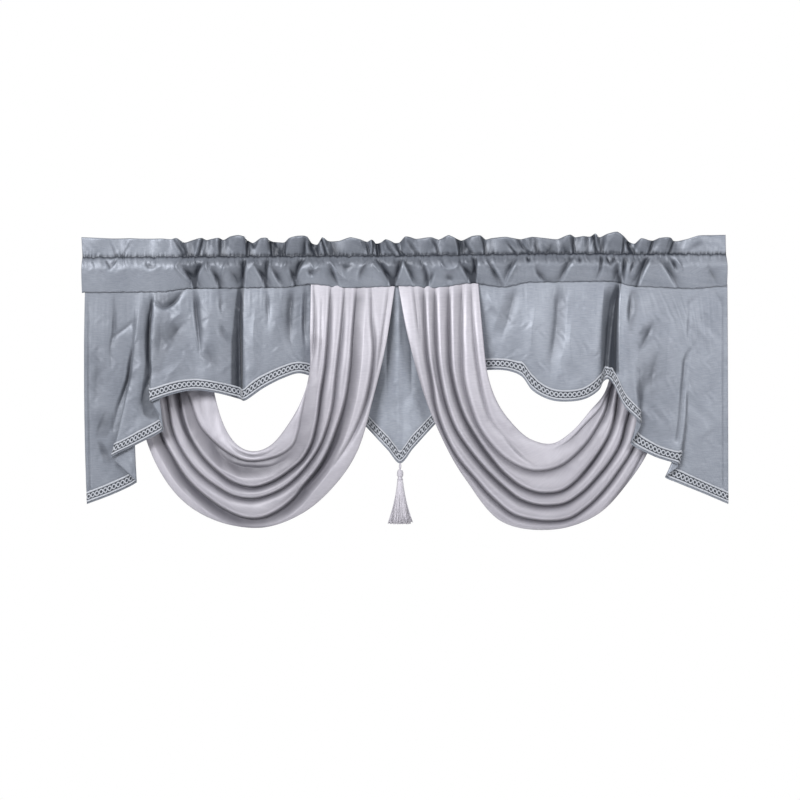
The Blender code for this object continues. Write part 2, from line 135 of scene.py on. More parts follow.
# A fold of the cloth along a path of the photograph's pixels, read downwards. Depth is how far
# back it lies, in mm, so a ridge is negative. West and east are its widths on its two sides, in
# pixels, and start and end are how much of it is left at its two ends.
Fold = namedtuple("Fold", "path depth west east start end", defaults=(0, 0))
FRILL_FOLDS = table(
    Fold,
    (((131, 243), (127, 249), (122, 257)), 2.5, 1.4, 1.4, 0.3, 1),
    (((111, 243), (114, 250), (117, 257)), 2.5, 1.4, 1.4, 0.3, 1),
    (((174, 240), (179, 248), (184, 257)), 6, 1.3, 3, 0.6, 1),
    (((203, 239), (201, 248), (198.5, 257)), 7, 2.2, 1.2, 0.8, 1),
    (((220.5, 239), (220.5, 257)), 7, 2, 1.2, 0.7, 1),
    (((247, 237), (247, 257)), 9, 1.2, 2.2, 1, 1),
    (((249, 240), (254, 247), (257, 241)), 5, 1.5, 1.5, 0.5, 0.5),
    (((269.5, 239), (271, 248), (273, 257)), 8, 1.2, 2.6, 0.8, 1),
    (((274, 243), (279, 251), (285, 255)), 4.5, 3, 3, 0.5, 0.8),
    (((286, 243), (284, 250), (283.5, 257)), 5, 1.6, 1.6, 0.5, 1),
    (((305.5, 238), (304.5, 257)), 8, 2.8, 1.3, 0.5, 1),
    (((311, 245), (314, 251), (317, 256)), 7, 2.5, 3, 1, 1),
    (((321, 239), (324, 248), (327, 257)), 9, 1.6, 1.4, 1, 1),
    (((331, 243), (337, 252), (344, 256)), 4, 4, 3, 0.6, 0.4),
    (((366, 241), (368, 249), (370, 257)), 6, 1.6, 1.2, 0.3, 1),
    (((372.5, 240), (373.5, 249), (372, 257)), 8, 1.2, 1.2, 1, 1),
    (((377, 244), (378, 251), (379, 257)), 9, 2, 2.5, 1, 1),
    (((385, 241), (389, 249), (394, 254)), 4, 1.4, 2, 0.6, 0.6),
    (((396, 244), (399, 251), (404.5, 256)), 7, 2.2, 1.4, 0.8, 1),
    (((408, 242), (412, 248), (416.7, 254)), 4, 1.4, 2.4, 0.5, 1),
    (((431, 239), (436, 246), (438.4, 254)), 5.5, 1.5, 1.5, 0.4, 1),
    (((456.8, 239), (459, 247), (460, 254)), 8, 1.4, 3.2, 0.8, 1),
    (((464, 243), (468, 249), (471, 254)), 5, 2.5, 2.5, 0.6, 1),
    (((481.8, 238), (484, 246), (485, 254)), 6.5, 1.2, 2.2, 0.6, 1),
    (((506, 241), (511, 248), (516.5, 254)), 5.5, 1.4, 1.4, 0.2, 1),
    (((518, 240), (524, 248), (531, 254)), 5.5, 1.4, 1.6, 0.4, 1),
    (((535, 239), (536, 247), (538, 254)), 4.5, 1.8, 2.4, 0.4, 1),
    (((552, 241), (550, 248), (545, 254)), 3, 3, 3, 0, 1),
    (((562, 242), (564, 249), (566, 254)), 3, 3, 3, 0, 1),
    (((573, 239), (574, 247), (575, 254)), 7.5, 2.2, 1.2, 0.7, 1),
    (((593.5, 236), (595, 246), (597.8, 254)), 9, 2.2, 1.3, 1, 1),
    (((603, 239), (602, 247), (601, 254)), 4.5, 1.4, 2.2, 0.4, 1),
    (((624, 238), (623.5, 247), (622.8, 254)), 7.5, 1.4, 1.4, 0.5, 1),
    (((628, 243), (631, 249), (634, 254)), 8.5, 2.2, 2.2, 1, 1),
    (((653, 241), (651, 247), (648.8, 254)), 7.5, 1.6, 1.3, 0.7, 1),
    (((673.7, 240), (671.5, 247), (669.4, 254)), 7.5, 1.6, 1.3, 0.7, 1),
    (((705, 240), (695, 246), (686, 251)), 2.5, 2.5, 2.5, 0, 0.4),
)
POCKET_FOLDS = table(
    Fold,
    (((105, 258), (111, 268)), 2.5, 1.6, 2.4, 1, 0.4),
    (((118, 258), (111, 268)), 2.5, 2.4, 1.6, 1, 0.4),
    (((143, 261), (150, 267), (160, 267)), 2, 2.5, 3.5),
    (((184, 257), (177, 266), (187, 280), (192, 290)), -3, 2, 1.6, 1, 0.5),
    (((180, 263), (187, 272), (194, 283), (196, 296)), 9, 1.8, 3.6, 0, 1),
    (((205, 260), (198, 272), (195, 284)), 7, 3.8, 1.6, 0, 0.6),
    (((208, 257), (207, 268), (214, 282)), -3, 1.8, 1.4, 0.5, 0.2),
    (((209, 264), (215, 274), (219, 284), (221, 296)), 8, 1.8, 3.2, 0, 1),
    (((229, 257), (225, 268), (220, 285)), -3.5, 1.8, 2.2, 0.5, 0.2),
    (((228, 268), (235, 276), (239, 288)), 4, 3.6, 4, 0, 0.5),
    (((246, 252), (244, 270), (242, 292)), 7, 2.8, 1.6, 0.6, 1),
    (((256, 257), (253, 268)), -3, 1.8, 1.8, 0.5, 0),
    (((253, 262), (259, 270), (265, 281), (267, 296)), 8, 1.8, 3.2, 0, 1),
    (((269, 254), (267, 268), (266, 281)), 5, 2.6, 1.4, 0.6, 0.5),
    (((271, 258), (270, 271)), -3, 1.4, 1.6, 0.3, 0),
    (((271, 264), (277, 276), (284, 288)), 5.5, 1.6, 3.6, 0, 0.5),
    (((288, 258), (283, 272)), -3.2, 1.8, 1.8, 0.5, 0),
    (((289, 264), (293, 275), (295, 284), (296, 296)), 7.5, 1.8, 2.6, 0, 1),
    (((306, 257), (300, 266), (295, 278)), 7, 3.4, 1.6, 0.5, 0.6),
    (((309, 257), (315, 270), (325, 257)), -3, 1.6, 1.6, 0.5, 0.5),
    (((309, 268), (313, 279)), 4.5, 2.2, 3),
    (((328, 257), (336, 271), (351, 285)), -3.2, 1.8, 1.8, 0.6, 0.2),
    (((327, 262), (333, 274), (338, 288)), 5.5, 3.6, 1.8, 0, 0.4),
    (((338, 264), (346, 268), (356, 265)), 3.2, 4, 3),
    (((371, 256), (362, 270), (358, 284)), -3.2, 2, 1.8, 0.6, 0.2),
    (((368, 262), (361, 272), (359, 284)), 4, 1.8, 3),
    (((373, 264), (385, 281)), -3, 1.6, 1.6, 0.5, 0.2),
    (((377, 260), (385, 272), (392, 285), (393, 296)), 9, 1.8, 3.4, 0.4, 1),
    (((402, 257), (398, 272), (393, 286)), 6.5, 3.4, 1.6, 0.5, 0.6),
    (((404, 260), (410, 273), (417, 288)), 6, 1.6, 4, 0.4, 0.4),
    (((420, 260), (426, 274), (427, 290)), 4.5, 2.6, 1.8, 0.3, 0.6),
    (((434, 269), (427, 288)), 4.5, 2.6, 1.8, 0, 0.5),
    (((437, 257), (447, 270), (456, 268), (458, 257)), -3.2, 1.8, 1.8, 0.6, 0.6),
    (((446, 273), (453, 284)), 3.6, 2.6, 3.6),
    (((460, 262), (467, 273), (473, 284)), 8, 1.8, 3.6, 0.2, 1),
    (((475, 254), (475, 270), (473, 296)), 8, 2.8, 1.5, 0.6, 1),
    (((485, 257), (491, 272), (498, 284)), -3.2, 1.6, 1.8, 0.5, 0.2),
    (((487, 261), (494, 272), (502, 286)), 5.5, 3, 2, 0.2, 0.4),
    (((519, 256), (514, 268), (504, 286)), -3.5, 2, 2.2, 0.6, 0.2),
    (((517, 257), (509, 270), (503, 284)), 5, 3, 1.6, 0.3, 0.2),
    (((527, 256), (529, 264)), 3.5, 2, 2, 0.6, 0),
    (((534, 261), (539, 274), (546, 281), (557, 281)), 5, 2, 3, 0, 0.3),
    (((572, 257), (564, 271), (557, 284)), 5, 3, 2, 0.5, 0.3),
    (((579, 256), (580, 265)), 2.8, 1.6, 1.6, 0.6, 0),
    (((601, 254), (600, 268), (595, 282)), 4.5, 1.6, 1.6, 0.8, 0),
    (((604, 258), (598, 277)), -3, 1.6, 1.6, 0.3, 0),
    (((606, 257), (610, 266)), 3, 1.6, 1.6, 0.5, 0.2),
    (((614, 257), (610, 266)), 3, 1.6, 1.6, 0.5, 0.2),
    (((615, 260), (618, 274), (620, 296)), 8.5, 3.6, 2, 0.2, 1),
    (((625, 256), (623, 270), (621, 284)), 6, 2, 2.4, 0.5, 0.6),
    (((634, 259), (629, 277)), 3.4, 1.8, 1.8, 0.2, 0),
    (((649, 256), (641, 273), (635, 290)), 8, 3.4, 1.6, 0.6, 0.8),
    (((661, 261), (670, 273), (679, 289)), 6, 1.8, 3.4, 0.2, 0.5),
    (((671, 257), (677, 274)), 4.5, 1.6, 1.8, 0.5, 0),
    (((675, 257), (683, 273)), -3, 1.6, 1.8, 0.5, 0),
    (((704, 262), (712, 275), (720, 290)), 1.6, 3, 3),
)
LEFT_FOLDS = table(
    Fold,
    (((88.5, 288), (87.5, 400), (89, 490)), 1.4, 1, 1, 1, 1),
    (((114.5, 288), (113.5, 321), (112.5, 335), (110, 346), (110, 360), (113, 378)), 5, 1.6, 3, 1,
     0),
    (((137, 318), (125, 328), (113, 337)), 2.2, 1.8, 1.5, 0, 0.6),
    (((98, 330), (96, 380), (92, 430)), 2, 5, 5),
    (((143, 333), (135, 345), (130, 362), (128, 377), (122, 395), (116, 411), (112, 428)), 8, 2.4,
     3.4, 0, 0.3),
    (((153, 286), (152, 301), (150, 321), (149, 335), (149.5, 357), (151, 371), (149, 385)), 12,
     4.5, 1.6, 1, 0.2),
    (((149, 378), (143, 394), (142.5, 409), (149, 418), (158, 419)), 5, 2.6, 5.2, 0.3, 0),
    (((156, 304), (164, 308), (172.5, 304), (180, 295), (185, 287)), 8, 1.5, 3.2, 0.6, 1),
    (((158, 294), (167, 297), (176, 291)), 2.5, 4, 4, 0.4, 0.4),
    (((190, 308), (175.5, 318), (167, 327)), -3, 4, 4),
    (((187, 319), (176, 332), (164, 346)), 4, 5.4, 5),
    (((160, 316), (161, 340), (158, 366)), 1.6, 5, 5),
    (((187, 352), (179, 366), (164, 380)), -2.4, 4, 4, 0.2, 0),
    (((187, 352), (190, 369), (196, 378)), -1.6, 3, 3, 0.2, 0),
    (((106, 408), (100, 424), (95, 440)), 2, 4, 4),
    (((98, 440), (103, 454), (108, 464)), 2.4, 3, 4),
    (((194, 282), (195.5, 306), (198.5, 335), (200, 350), (201.5, 364)), 8.5, 2, 3.2, 1, 0),
    (((218.5, 282), (220, 299), (222.5, 322)), 5, 1.8, 2.4, 1, 0),
    (((219, 321), (227, 332), (231, 344)), -2.4, 2.4, 2.4),
    (((221, 318), (222, 332), (228, 346)), 2.4, 2.4, 3.2),
    (((206, 340), (212, 360), (222, 372)), 3, 4, 4),
    (((240.5, 282), (240, 335), (240.5, 371), (241.5, 394)), 6, 5.4, 1.2, 1, 1),
    (((266.5, 282), (267.5, 305), (268.5, 332)), 5, 2.2, 2.2, 1, 0),
    (((256, 300), (254, 340), (257, 372)), -3, 4, 4),
    (((292, 284), (289.5, 323), (291, 348), (295, 358)), 8, 5, 4, 1, 0),
    (((305, 286), (304, 330), (306, 354)), 6, 2, 2.6, 1, 0),
)
RIGHT_FOLDS = table(
    Fold,
    (((487, 290), (493, 306), (499, 318)), -4, 4, 4, 0.3, 0),
    (((515, 286), (508, 318), (503, 333), (500, 345)), 6, 6, 5, 1, 0),
    (((538, 296), (532, 331), (530, 360)), -3.5, 5, 5),
    (((559, 284), (554, 340), (549.5, 365), (549.5, 388)), 7, 4, 6, 1, 0),
    (((572, 310), (570, 350), (575, 380)), -3, 5, 5),
    (((618.5, 282), (616, 306), (614.5, 335), (614, 374)), 9, 8, 1.4, 1, 1),
    (((632, 286), (629.5, 314), (628, 330)), 7, 2.5, 3.2, 1, 0),
    (((655, 316), (649, 332), (638, 355)), 5, 3, 3),
    (((644, 322), (638, 336)), -3.5, 3, 3),
    (((661, 340), (652, 375), (650, 412)), 4, 5, 5),
    (((672, 300), (668, 345), (664, 400)), -2.5, 6, 6),
    (((701, 327), (693.5, 346), (686.5, 356), (683.5, 376), (681.5, 399), (679, 426), (677, 440)),
     4, 1.8, 2.4, 0, 0.6),
    (((688.5, 302), (688.5, 324), (688, 348)), 2.6, 1.4, 1.6, 0.4, 0),
    (((702, 290), (695, 297), (688.5, 304), (688, 314)), 4, 1.6, 2.4, 1, 0),
    (((709, 286), (715, 292), (720.5, 302), (724, 311)), 5, 3, 2, 1, 0),
    (((722.5, 292), (723.5, 400), (724, 488)), 1.4, 1, 1, 1, 1),
)
PENNANT_FOLDS = table(
    Fold,
    (((399, 296), (399, 380), (399.5, 444)), -3.5, 3, 3, 0.6, 0.3),
    (((392, 288), (387, 350), (389, 425)), 4, 4, 4, 1, 0),
    (((405, 288), (411, 350), (411, 418)), 4, 4, 4, 1, 0),
)
# A swag's folds run from its left leg round its bottom and up its right leg, so west is its
# outer side. Folds in one leg alone stop where they die out.
LEFT_SWAG_FOLDS = table(
    Fold,
    (((171, 290), (177, 340), (183, 384), (190, 406), (198, 426), (211, 441), (231, 456),
     (245, 461.5), (259, 461.5), (271, 459), (286, 452.5), (295, 444), (299, 433), (302.5, 416),
     (307.5, 390), (310, 350)), 11, 10, 1.8, 0.5, 0.4),
    (((226, 438), (237, 451), (251, 456), (268, 453), (282, 443)), 4.5, 1.6, 1.2),
    (((163, 290), (169, 340), (175, 384), (180, 416), (188, 438), (200, 456), (215, 471),
     (234, 484), (253, 488), (271, 483), (289, 472), (304, 459), (312.5, 444), (318, 423),
     (322, 393), (326, 368), (329, 331), (331, 284)), 13, 3.4, 1.9, 1, 1),
    (((149, 290), (155, 340), (162, 384), (167, 413), (170, 429), (180, 451), (195, 471),
     (215, 487), (234, 497), (253, 499.5), (271, 495), (286, 487), (299, 476), (311, 462),
     (321, 446), (327, 431), (333, 409), (337, 376), (342, 331), (345, 284)), 11, 3.4, 1.9, 1, 1),
    (((135, 290), (142, 350), (150, 400), (160, 438), (170, 457), (186, 481), (206, 499),
     (226, 512), (244, 519), (259, 519.5), (278, 512), (293, 500.5), (307, 484), (321, 466),
     (331, 447), (339, 426), (346, 403), (351, 373), (354, 331), (357, 284)), 14, 6, 2.2, 1, 1),
    (((371, 284), (372, 320), (374.5, 350), (371, 383), (366, 404), (357, 428), (345, 450),
     (330, 470), (312, 490)), 13, 2.4, 3.4, 0.7, 0),
    (((314, 284), (315, 320), (314, 345), (311, 376)), 8, 1.4, 3, 1, 0),
    (((345, 405), (341, 425), (333, 446), (319, 469), (302, 487), (286, 500), (270, 511)), 6, 2,
     2.4),
    (((389, 286), (384, 325), (379, 362), (373, 395)), 6, 2, 2.2, 1, 0),
    (((186, 290), (192, 340), (197, 384), (202, 413), (212, 433), (226, 449)), 3.5, 3, 3, 0.7, 0),
    (((171, 470), (192, 496), (214, 511)), -3, 3, 3),
    (((201, 428), (212, 446), (231, 463.5), (253, 468), (275, 465), (291, 455), (302, 440)), 3.4,
     8, 2.4),
    (((322, 300), (321, 350), (317, 390)), 2.5, 1.5, 1.3, 0.5, 0),
)
RIGHT_SWAG_FOLDS = table(
    Fold,
    (((424, 284), (425, 331), (427, 356), (431.5, 383), (435, 406), (443, 431), (456, 456),
     (473, 477), (494.5, 500.5), (514, 515.5), (536, 521), (549, 522), (569, 519.5), (589, 507),
     (607, 489), (622, 469), (632, 454), (641, 436), (655, 390), (669, 340), (675, 290)), 12, 4,
     2, 1, 1),
    (((435, 284), (435.5, 331), (437, 360), (440.5, 383), (446, 406), (456, 431), (469.5, 451),
     (484.5, 469), (503, 487), (521, 500.5), (536, 505.5), (549, 506.5), (566, 504), (582, 494),
     (599, 477), (612, 461), (622, 444), (628, 424), (640, 380), (650, 335), (656, 290)), 13, 4,
     2, 1, 1),
    (((449, 284), (449, 340), (450.5, 370), (456, 396), (464.5, 419), (476, 439), (489.5, 457.5),
     (504, 474), (521, 487), (536, 493), (549, 494), (562.5, 491.5), (577.5, 481), (591, 466),
     (604, 447.5), (612, 432.5), (617, 416), (620, 396), (632, 340), (640, 290)), 13, 4, 2, 1, 1),
    (((462, 284), (461, 348), (463, 381), (469.5, 406), (478, 427.5), (489.5, 444), (501, 456),
     (516, 466), (532.5, 471.5), (547.5, 471), (562.5, 466), (576, 456), (589, 442.5),
     (599, 427.5), (607, 413), (613, 390), (624, 340), (631, 290)), 10, 5, 2.2, 1, 1),
    (((471, 284), (474, 340), (478, 373), (483, 398), (491, 421), (503, 436), (518, 449),
     (536, 459)), 7, 2.6, 2, 1, 0),
    (((544, 455), (571, 440), (587, 424), (602, 408), (611, 388)), 6, 5, 1.3, 0, 1),
    (((500, 433), (512, 447), (527, 461), (540, 470)), 3.5, 1.4, 1.4),
    (((570, 484), (586, 470), (600, 452), (609, 436)), 3.5, 1.8, 1.3),
    (((430, 330), (436, 380), (447, 420)), 2.5, 1.5, 1.3),
    (((412, 320), (414, 356), (421, 390), (432, 425), (447, 456), (463, 480)), 5, 2.2, 2.2),
    (((413, 284), (417, 320), (420, 352)), 5, 2, 2, 1, 0),
    (((598, 516), (617, 497), (632, 477), (646, 452)), 6, 3, 2, 0, 1),
)

# A face that turns from the light: its darkness, and how soft its west and east edges are, in
# pixels. Its edges, read downwards, are rows of py, west px and east px.
Face = namedtuple("Face", "dark soft_west soft_east edges")
LEFT_FACES = table(
    Face,
    (0.66, 2.5, 1, ((280, 237, 244.8), (310, 233.5, 244.2), (342, 230, 243.8),
     (385, 229.5, 243.8), (400, 230, 244))),
    (0.34, 2, 1.2, ((296, 150, 153), (314, 147.5, 152.6), (342, 146, 152.2), (371, 143.6, 153.4),
     (385, 141.5, 151), (400, 140.5, 152.5), (414, 142.5, 161), (422, 150, 160))),
    (0.3, 1.5, 1.5, ((288, 152, 187), (298, 154, 181), (308, 162, 172))),
    (0.2, 1.5, 5, ((308, 152, 168), (330, 152, 182), (350, 151, 172), (376, 154, 163))),
    (0.2, 3, 2, ((408, 104, 113), (424, 96, 114), (440, 92, 106))),
    (0.2, 3, 3, ((438, 94, 101), (452, 98, 109), (466, 102, 112))),
)
RIGHT_FACES = table(
    Face,
    (0.66, 4.5, 1, ((280, 614, 622.5), (300, 608.5, 619.6), (328, 604.5, 618.8),
     (356, 603, 618.6), (376, 600, 619))),
    (0.25, 4, 3, ((376, 636, 641), (390, 633, 643), (404, 637, 645))),
    (0.14, 6, 6, ((284, 628, 645), (310, 626, 640), (335, 624, 634))),
    (0.1, 8, 12, ((286, 622, 692), (440, 622, 686))),
)

# The pocket's lower seam, and the stitching above it, in mm.
SeamPoint = namedtuple("SeamPoint", "x z")
SEAM = table(
    SeamPoint,
    (-661, -114), (-500, -113), (-440, -106), (-250, -104), (-190, -97), (-120, -105), (0, -101),
    (60, -105), (140, -95), (203, -103), (260, -93), (420, -91), (480, -102), (590, -106),
    (661, -101),
)
STITCHING = table(SeamPoint, (-661, -42), (0, -38.5), (290, -34.5), (661, -35.5))

# The CAD's threads: where each leaves the seam, where it is part way down, and its hem, in mm.
Thread = namedtuple("Thread", "top_x mid_x hem_x mid_y hem_y hem_z")
MID_LEVEL = 0.4
LEFT_PANEL = table(
    Thread,
    (-655, -658, -653, 7, 13, -549), (-614, -616, -600, 5, 13, -529),
    (-560, -560, -553, 7, 13, -506), (-554, -557, -550, 4, 3, -502),
    (-548, -560, -597, 0, 2, -457), (-544, -558, -599, -3.5, -4, -452),
    (-536, -545, -546, -5, -4, -425), (-533, -516, -496, -4, -4, -399),
    (-528, -513, -493, -8, -12, -395), (-519, -523, -515, -11, -14, -344),
    (-513, -520, -517, -14, -18, -340), (-495, -491, -476, -13, -19, -324),
    (-445, -439, -429, -4, -10, -315), (-402, -398, -386, -7, -6, -320),
    (-346, -341, -337, 6, 8, -333), (-333, -330, -326, -7, -12, -336),
    (-294, -292, -287, -7, -12, -310), (-253, -250, -248, -5, -8, -290),
    (-218, -217, -217, 0, -2, -280), (-177, -183, -189, 2, 3, -286),
)
RIGHT_PANEL = table(
    Thread,
    (135, 137, 152, 2, 2, -277), (172, 174, 177, 0, 0, -273), (207, 210, 214, -4, -2, -275),
    (238, 241, 242, -6, -5, -287), (265, 268, 263, -8, -8, -315), (298, 300, 298, -5, -11, -334),
    (333, 335, 335, -7, -12, -338), (372, 372, 372, -9, -10, -332),
    (409, 404, 400, -4, -4, -314), (430, 421, 411, 8, 8, -296), (438, 430, 419, 5, 6, -292),
    (443, 437, 429, -9, -9, -303), (451, 451, 452, -12, -15, -349),
    (460, 464, 481, -12.6, -19, -379), (465, 474, 484, -11.4, -14, -388),
    (470, 486, 468, -9.4, -13, -417), (475, 498, 465, -7, -3, -424),
    (490, 520, 512, -4, -4, -450), (512, 564, 560, -1, -2, -467), (517, 570, 562, -0.2, 2, -472),
    (522, 576, 540, 0.6, 4, -489), (527, 582, 538, 1.6, 13, -494), (560, 598, 565, 3, 12, -506),
    (610, 624, 614, 4, 13, -526), (664, 666, 668, 6, 13, -549),
)
PENNANT = table(
    Thread,
    (-115, -102, -88, 1, 3, -379), (-78, -72, -62, 4, 5, -407), (-42, -38, -34, 1, 2, -437),
    (-8, -8, -8, 4, 5, -465), (28, 22, 19, 1, 2, -434), (64, 56, 46, 4, 5, -404),
    (99, 86, 72, 1, 3, -376),
)

# The CAD's stations round each swag: its inner and outer edge, how far forward it hangs, and how
# full it is, in mm. The end stations take their heights from the seam.
Station = namedtuple("Station", "inner_x inner_z outer_x outer_z depth fullness")
LEFT_SWAG = table(
    Station,
    (-191, None, -18, None, -2.7, 0.5),
    (-192, -191, -37, -222, -24, 7),
    (-193, -277, -64, -335, -31, 9),
    (-211, -339, -94, -436, -27, 10),
    (-242, -392, -141, -508, -19, 11),
    (-273, -427, -207, -566, -9, 12),
    (-308, -440, -292, -597, 0, 12),
    (-342, -428, -384, -584, 9, 12),
    (-370, -390, -460, -539, 18, 11),
    (-391, -324, -515, -461, 25, 9),
    (-404, -232, -549, -357, 27, 8),
    (-413, -166, -569, -232, 20, 6),
    (-419, None, -581, None, 2.7, 0.5),
)
RIGHT_SWAG = table(
    Station,
    (152, None, -12, None, -2.7, 0.5),
    (160, -191, 7, -201, -24, 7),
    (170, -279, 42, -326, -31, 9),
    (190, -338, 82, -422, -27, 10),
    (221, -382, 126, -497, -19, 11),
    (258, -414, 199, -583, -9, 12),
    (304, -424, 304, -601, 0, 12),
    (346, -399, 397, -571, 9, 12),
    (384, -357, 466, -501, 18, 11),
    (417, -314, 515, -420, 25, 9),
    (438, -232, 549, -316, 27, 8),
    (452, -166, 569, -211, 20, 6),
    (458, None, 579, None, 2.7, 0.5),
)

# The tassel, in mm. The head's radius is given by how far down the head it is.
TASSEL_X = -8.0
TASSEL_Y = 5.0
LOOP_TOP_Z = -464.5
TASSEL_TOP_Z = -477.0
SKIRT_TOP_Z = -498.0
SKIRT_STRANDS = 420
SKIRT_TURN = 2.399963
SKIRT_ROOT, SKIRT_SPREAD, SKIRT_DROP = 5.2, 24.0, 91.5
HeadWidth = namedtuple("HeadWidth", "share radius")
TASSEL_HEAD = table(
    HeadWidth,
    (0, 2.4), (0.1, 4.6), (0.3, 6.1), (0.62, 6.2), (0.76, 4.4), (0.9, 4.5), (1.0, 6.0),
)


# Curves and grids


def ease(t):
    return t * t * (3 - 2 * t)


def step_up(value):
    """0 below 0, 1 above 1, and smooth between them."""
    return ease(np.clip(value, 0, 1))


def column(rows, name):
    return np.array([getattr(row, name) for row in rows], float)


def flow(knots, values, at):
    """A smooth curve through values at the knots, read at the places in at."""
    knots, values = np.asarray(knots, float), np.asarray(values, float)
    spans = np.diff(knots)
    slopes = np.diff(values) / spans
    inner = (slopes[:-1] * spans[1:] + slopes[1:] * spans[:-1]) / (spans[:-1] + spans[1:])
    pulls = np.concatenate([slopes[:1], inner, slopes[-1:]])
    i = np.clip(np.searchsorted(knots, at, side="right") - 1, 0, len(spans) - 1)
    t = (at - knots[i]) / spans[i]
    reach = ease(t)
    lead, trail = t * (1 - t) ** 2 * spans[i], t**2 * (t - 1) * spans[i]
    return values[i] * (1 - reach) + values[i + 1] * reach + lead * pulls[i] + trail * pulls[i + 1]


def seam_z(x):
    places, heights = column(SEAM, "x"), column(SEAM, "z")
    x = np.clip(x, places[0], places[-1])
    i = np.clip(np.searchsorted(places, x, side="right") - 1, 0, len(places) - 2)
    t = (x - places[i]) / (places[i + 1] - places[i])
    return heights[i] + (heights[i + 1] - heights[i]) * ease(t)


def wobble(x, scale, seed):
    """A smooth uneven wave of about unit height and of about this wavelength."""
    total = np.zeros_like(np.asarray(x, float))
    for k, (stretch, weight) in enumerate(((1.0, 0.5), (0.618, 0.35), (1.83, 0.3))):
        total = total + weight * np.sin(math.tau * x / (scale * stretch) + seed * (k + 1) * 1.7)
    return total


def rumple(x, z, scale, seed):
    """Uneven low relief over a surface, of about unit height."""
    lean = 0.35 * wobble(z, scale * 2.3, seed + 3)
    return wobble(x + lean * scale, scale, seed) * wobble(z + 0.4 * x, scale * 1.9, seed + 7)


def grid_normals(grid):
    down, across = np.gradient(grid, axis=0), np.gradient(grid, axis=1)
    normals = np.cross(down, across)
    return normals / np.maximum(np.linalg.norm(normals, axis=2, keepdims=True), 1e-9)


def runs(points):
    """How far along a line each of its points lies."""
    return np.concatenate([[0.0], np.cumsum(np.linalg.norm(np.diff(points, axis=0), axis=1))])


def nearest(x, z, path_x, path_z):
    """How far these places are from a path, on which side, and how far along it, as a share."""
    best = np.full(x.shape, 1e9)
    side, share = np.zeros_like(x), np.zeros_like(x)
    for k in range(len(path_x) - 1):
        dx, dz = path_x[k + 1] - path_x[k], path_z[k + 1] - path_z[k]
        length = math.hypot(dx, dz)
        t = np.clip(((x - path_x[k]) * dx + (z - path_z[k]) * dz) / length**2, 0, 1)
        off_x, off_z = x - path_x[k] - t * dx, z - path_z[k] - t * dz
        away = np.hypot(off_x, off_z)
        closer = away < best
        best = np.where(closer, away, best)
        side = np.where(closer, off_x * dz - off_z * dx, side)
        share = np.where(closer, (k + t) / (len(path_x) - 1), share)
    return best, side, share


def fold_push(x, z, folds):
    """How far back, in mm, the folds push the cloth at these places, and the painted shade they
    put on it.

    A broad side slopes evenly. The narrow side of a trough ends in a ridge, which gets a painted
    highlight.
    """
    push, dark = np.zeros_like(x), np.zeros_like(x)
    for fold in folds:
        px, py = (np.array(values, float) for values in zip(*fold.path))
        run = np.concatenate([[0.0], np.cumsum(np.hypot(np.diff(px), np.diff(py)))])
        at = np.linspace(0, run[-1], 8 * (len(px) - 1) + 1)
        if len(px) > 2:
            px, py = flow(run, px, at), flow(run, py, at)
        else:
            px, py = np.interp(at, run, px), np.interp(at, run, py)
        path_x, path_z = to_x(px), to_z(py)
        reach = 4 * max(fold.west, fold.east) * MM_A_PIXEL
        near = (x > path_x.min() - reach) & (x < path_x.max() + reach)
        near &= (z > path_z.min() - reach) & (z < path_z.max() + reach)
        if not near.any():
            continue
        best, side, share = nearest(x[near], z[near], path_x, path_z)
        width = np.where(side > 0, fold.west, fold.east) * MM_A_PIXEL
        left = fold.start + (1 - fold.start) * step_up(share / 0.5)
        left *= fold.end + (1 - fold.end) * step_up((1 - share) / 0.55)
        broad = width > 5.5 * MM_A_PIXEL
        slope = np.clip(1 - best / (1.7 * width), 0, 1)
        push[near] += fold.depth * left * np.where(broad, slope, np.exp(-((best / width) ** 1.25)))
        if fold.depth > 0:
            shadow = np.exp(-((best / (1.2 * width)) ** 1.1))
            shadow = np.where(broad, 0.9 * slope**0.45, shadow)
            crisp = width < 2.6 * MM_A_PIXEL
            ridge = np.where(crisp, np.exp(-(((best / width - 1.7) / 0.6) ** 2)), 0)
            # painted shade in the trough, deeper for a deeper fold, less a painted highlight on a
            # crisp ridge
            tone = 0.28 + 0.08 * fold.depth
            dark[near] += tone * left * (shadow - 0.44 * ridge)
    return push, dark


def face_shade(x, z, faces):
    """The painted shade that the faces put on the cloth at these places."""
    px, py = x / MM_A_PIXEL + ORIGIN_PX, ORIGIN_PY - z / MM_A_PIXEL
    dark = np.zeros_like(x)
    for face in faces:
        rows, west, east = (np.array(values, float) for values in zip(*face.edges))
        from_west = step_up((px - np.interp(py, rows, west)) / face.soft_west)
        from_east = step_up((np.interp(py, rows, east) - px) / face.soft_east)
        from_ends = step_up(np.minimum(py - rows[0], rows[-1] - py) / 6)
        dark += face.dark * from_west * from_east * from_ends
    return dark


# Meshes


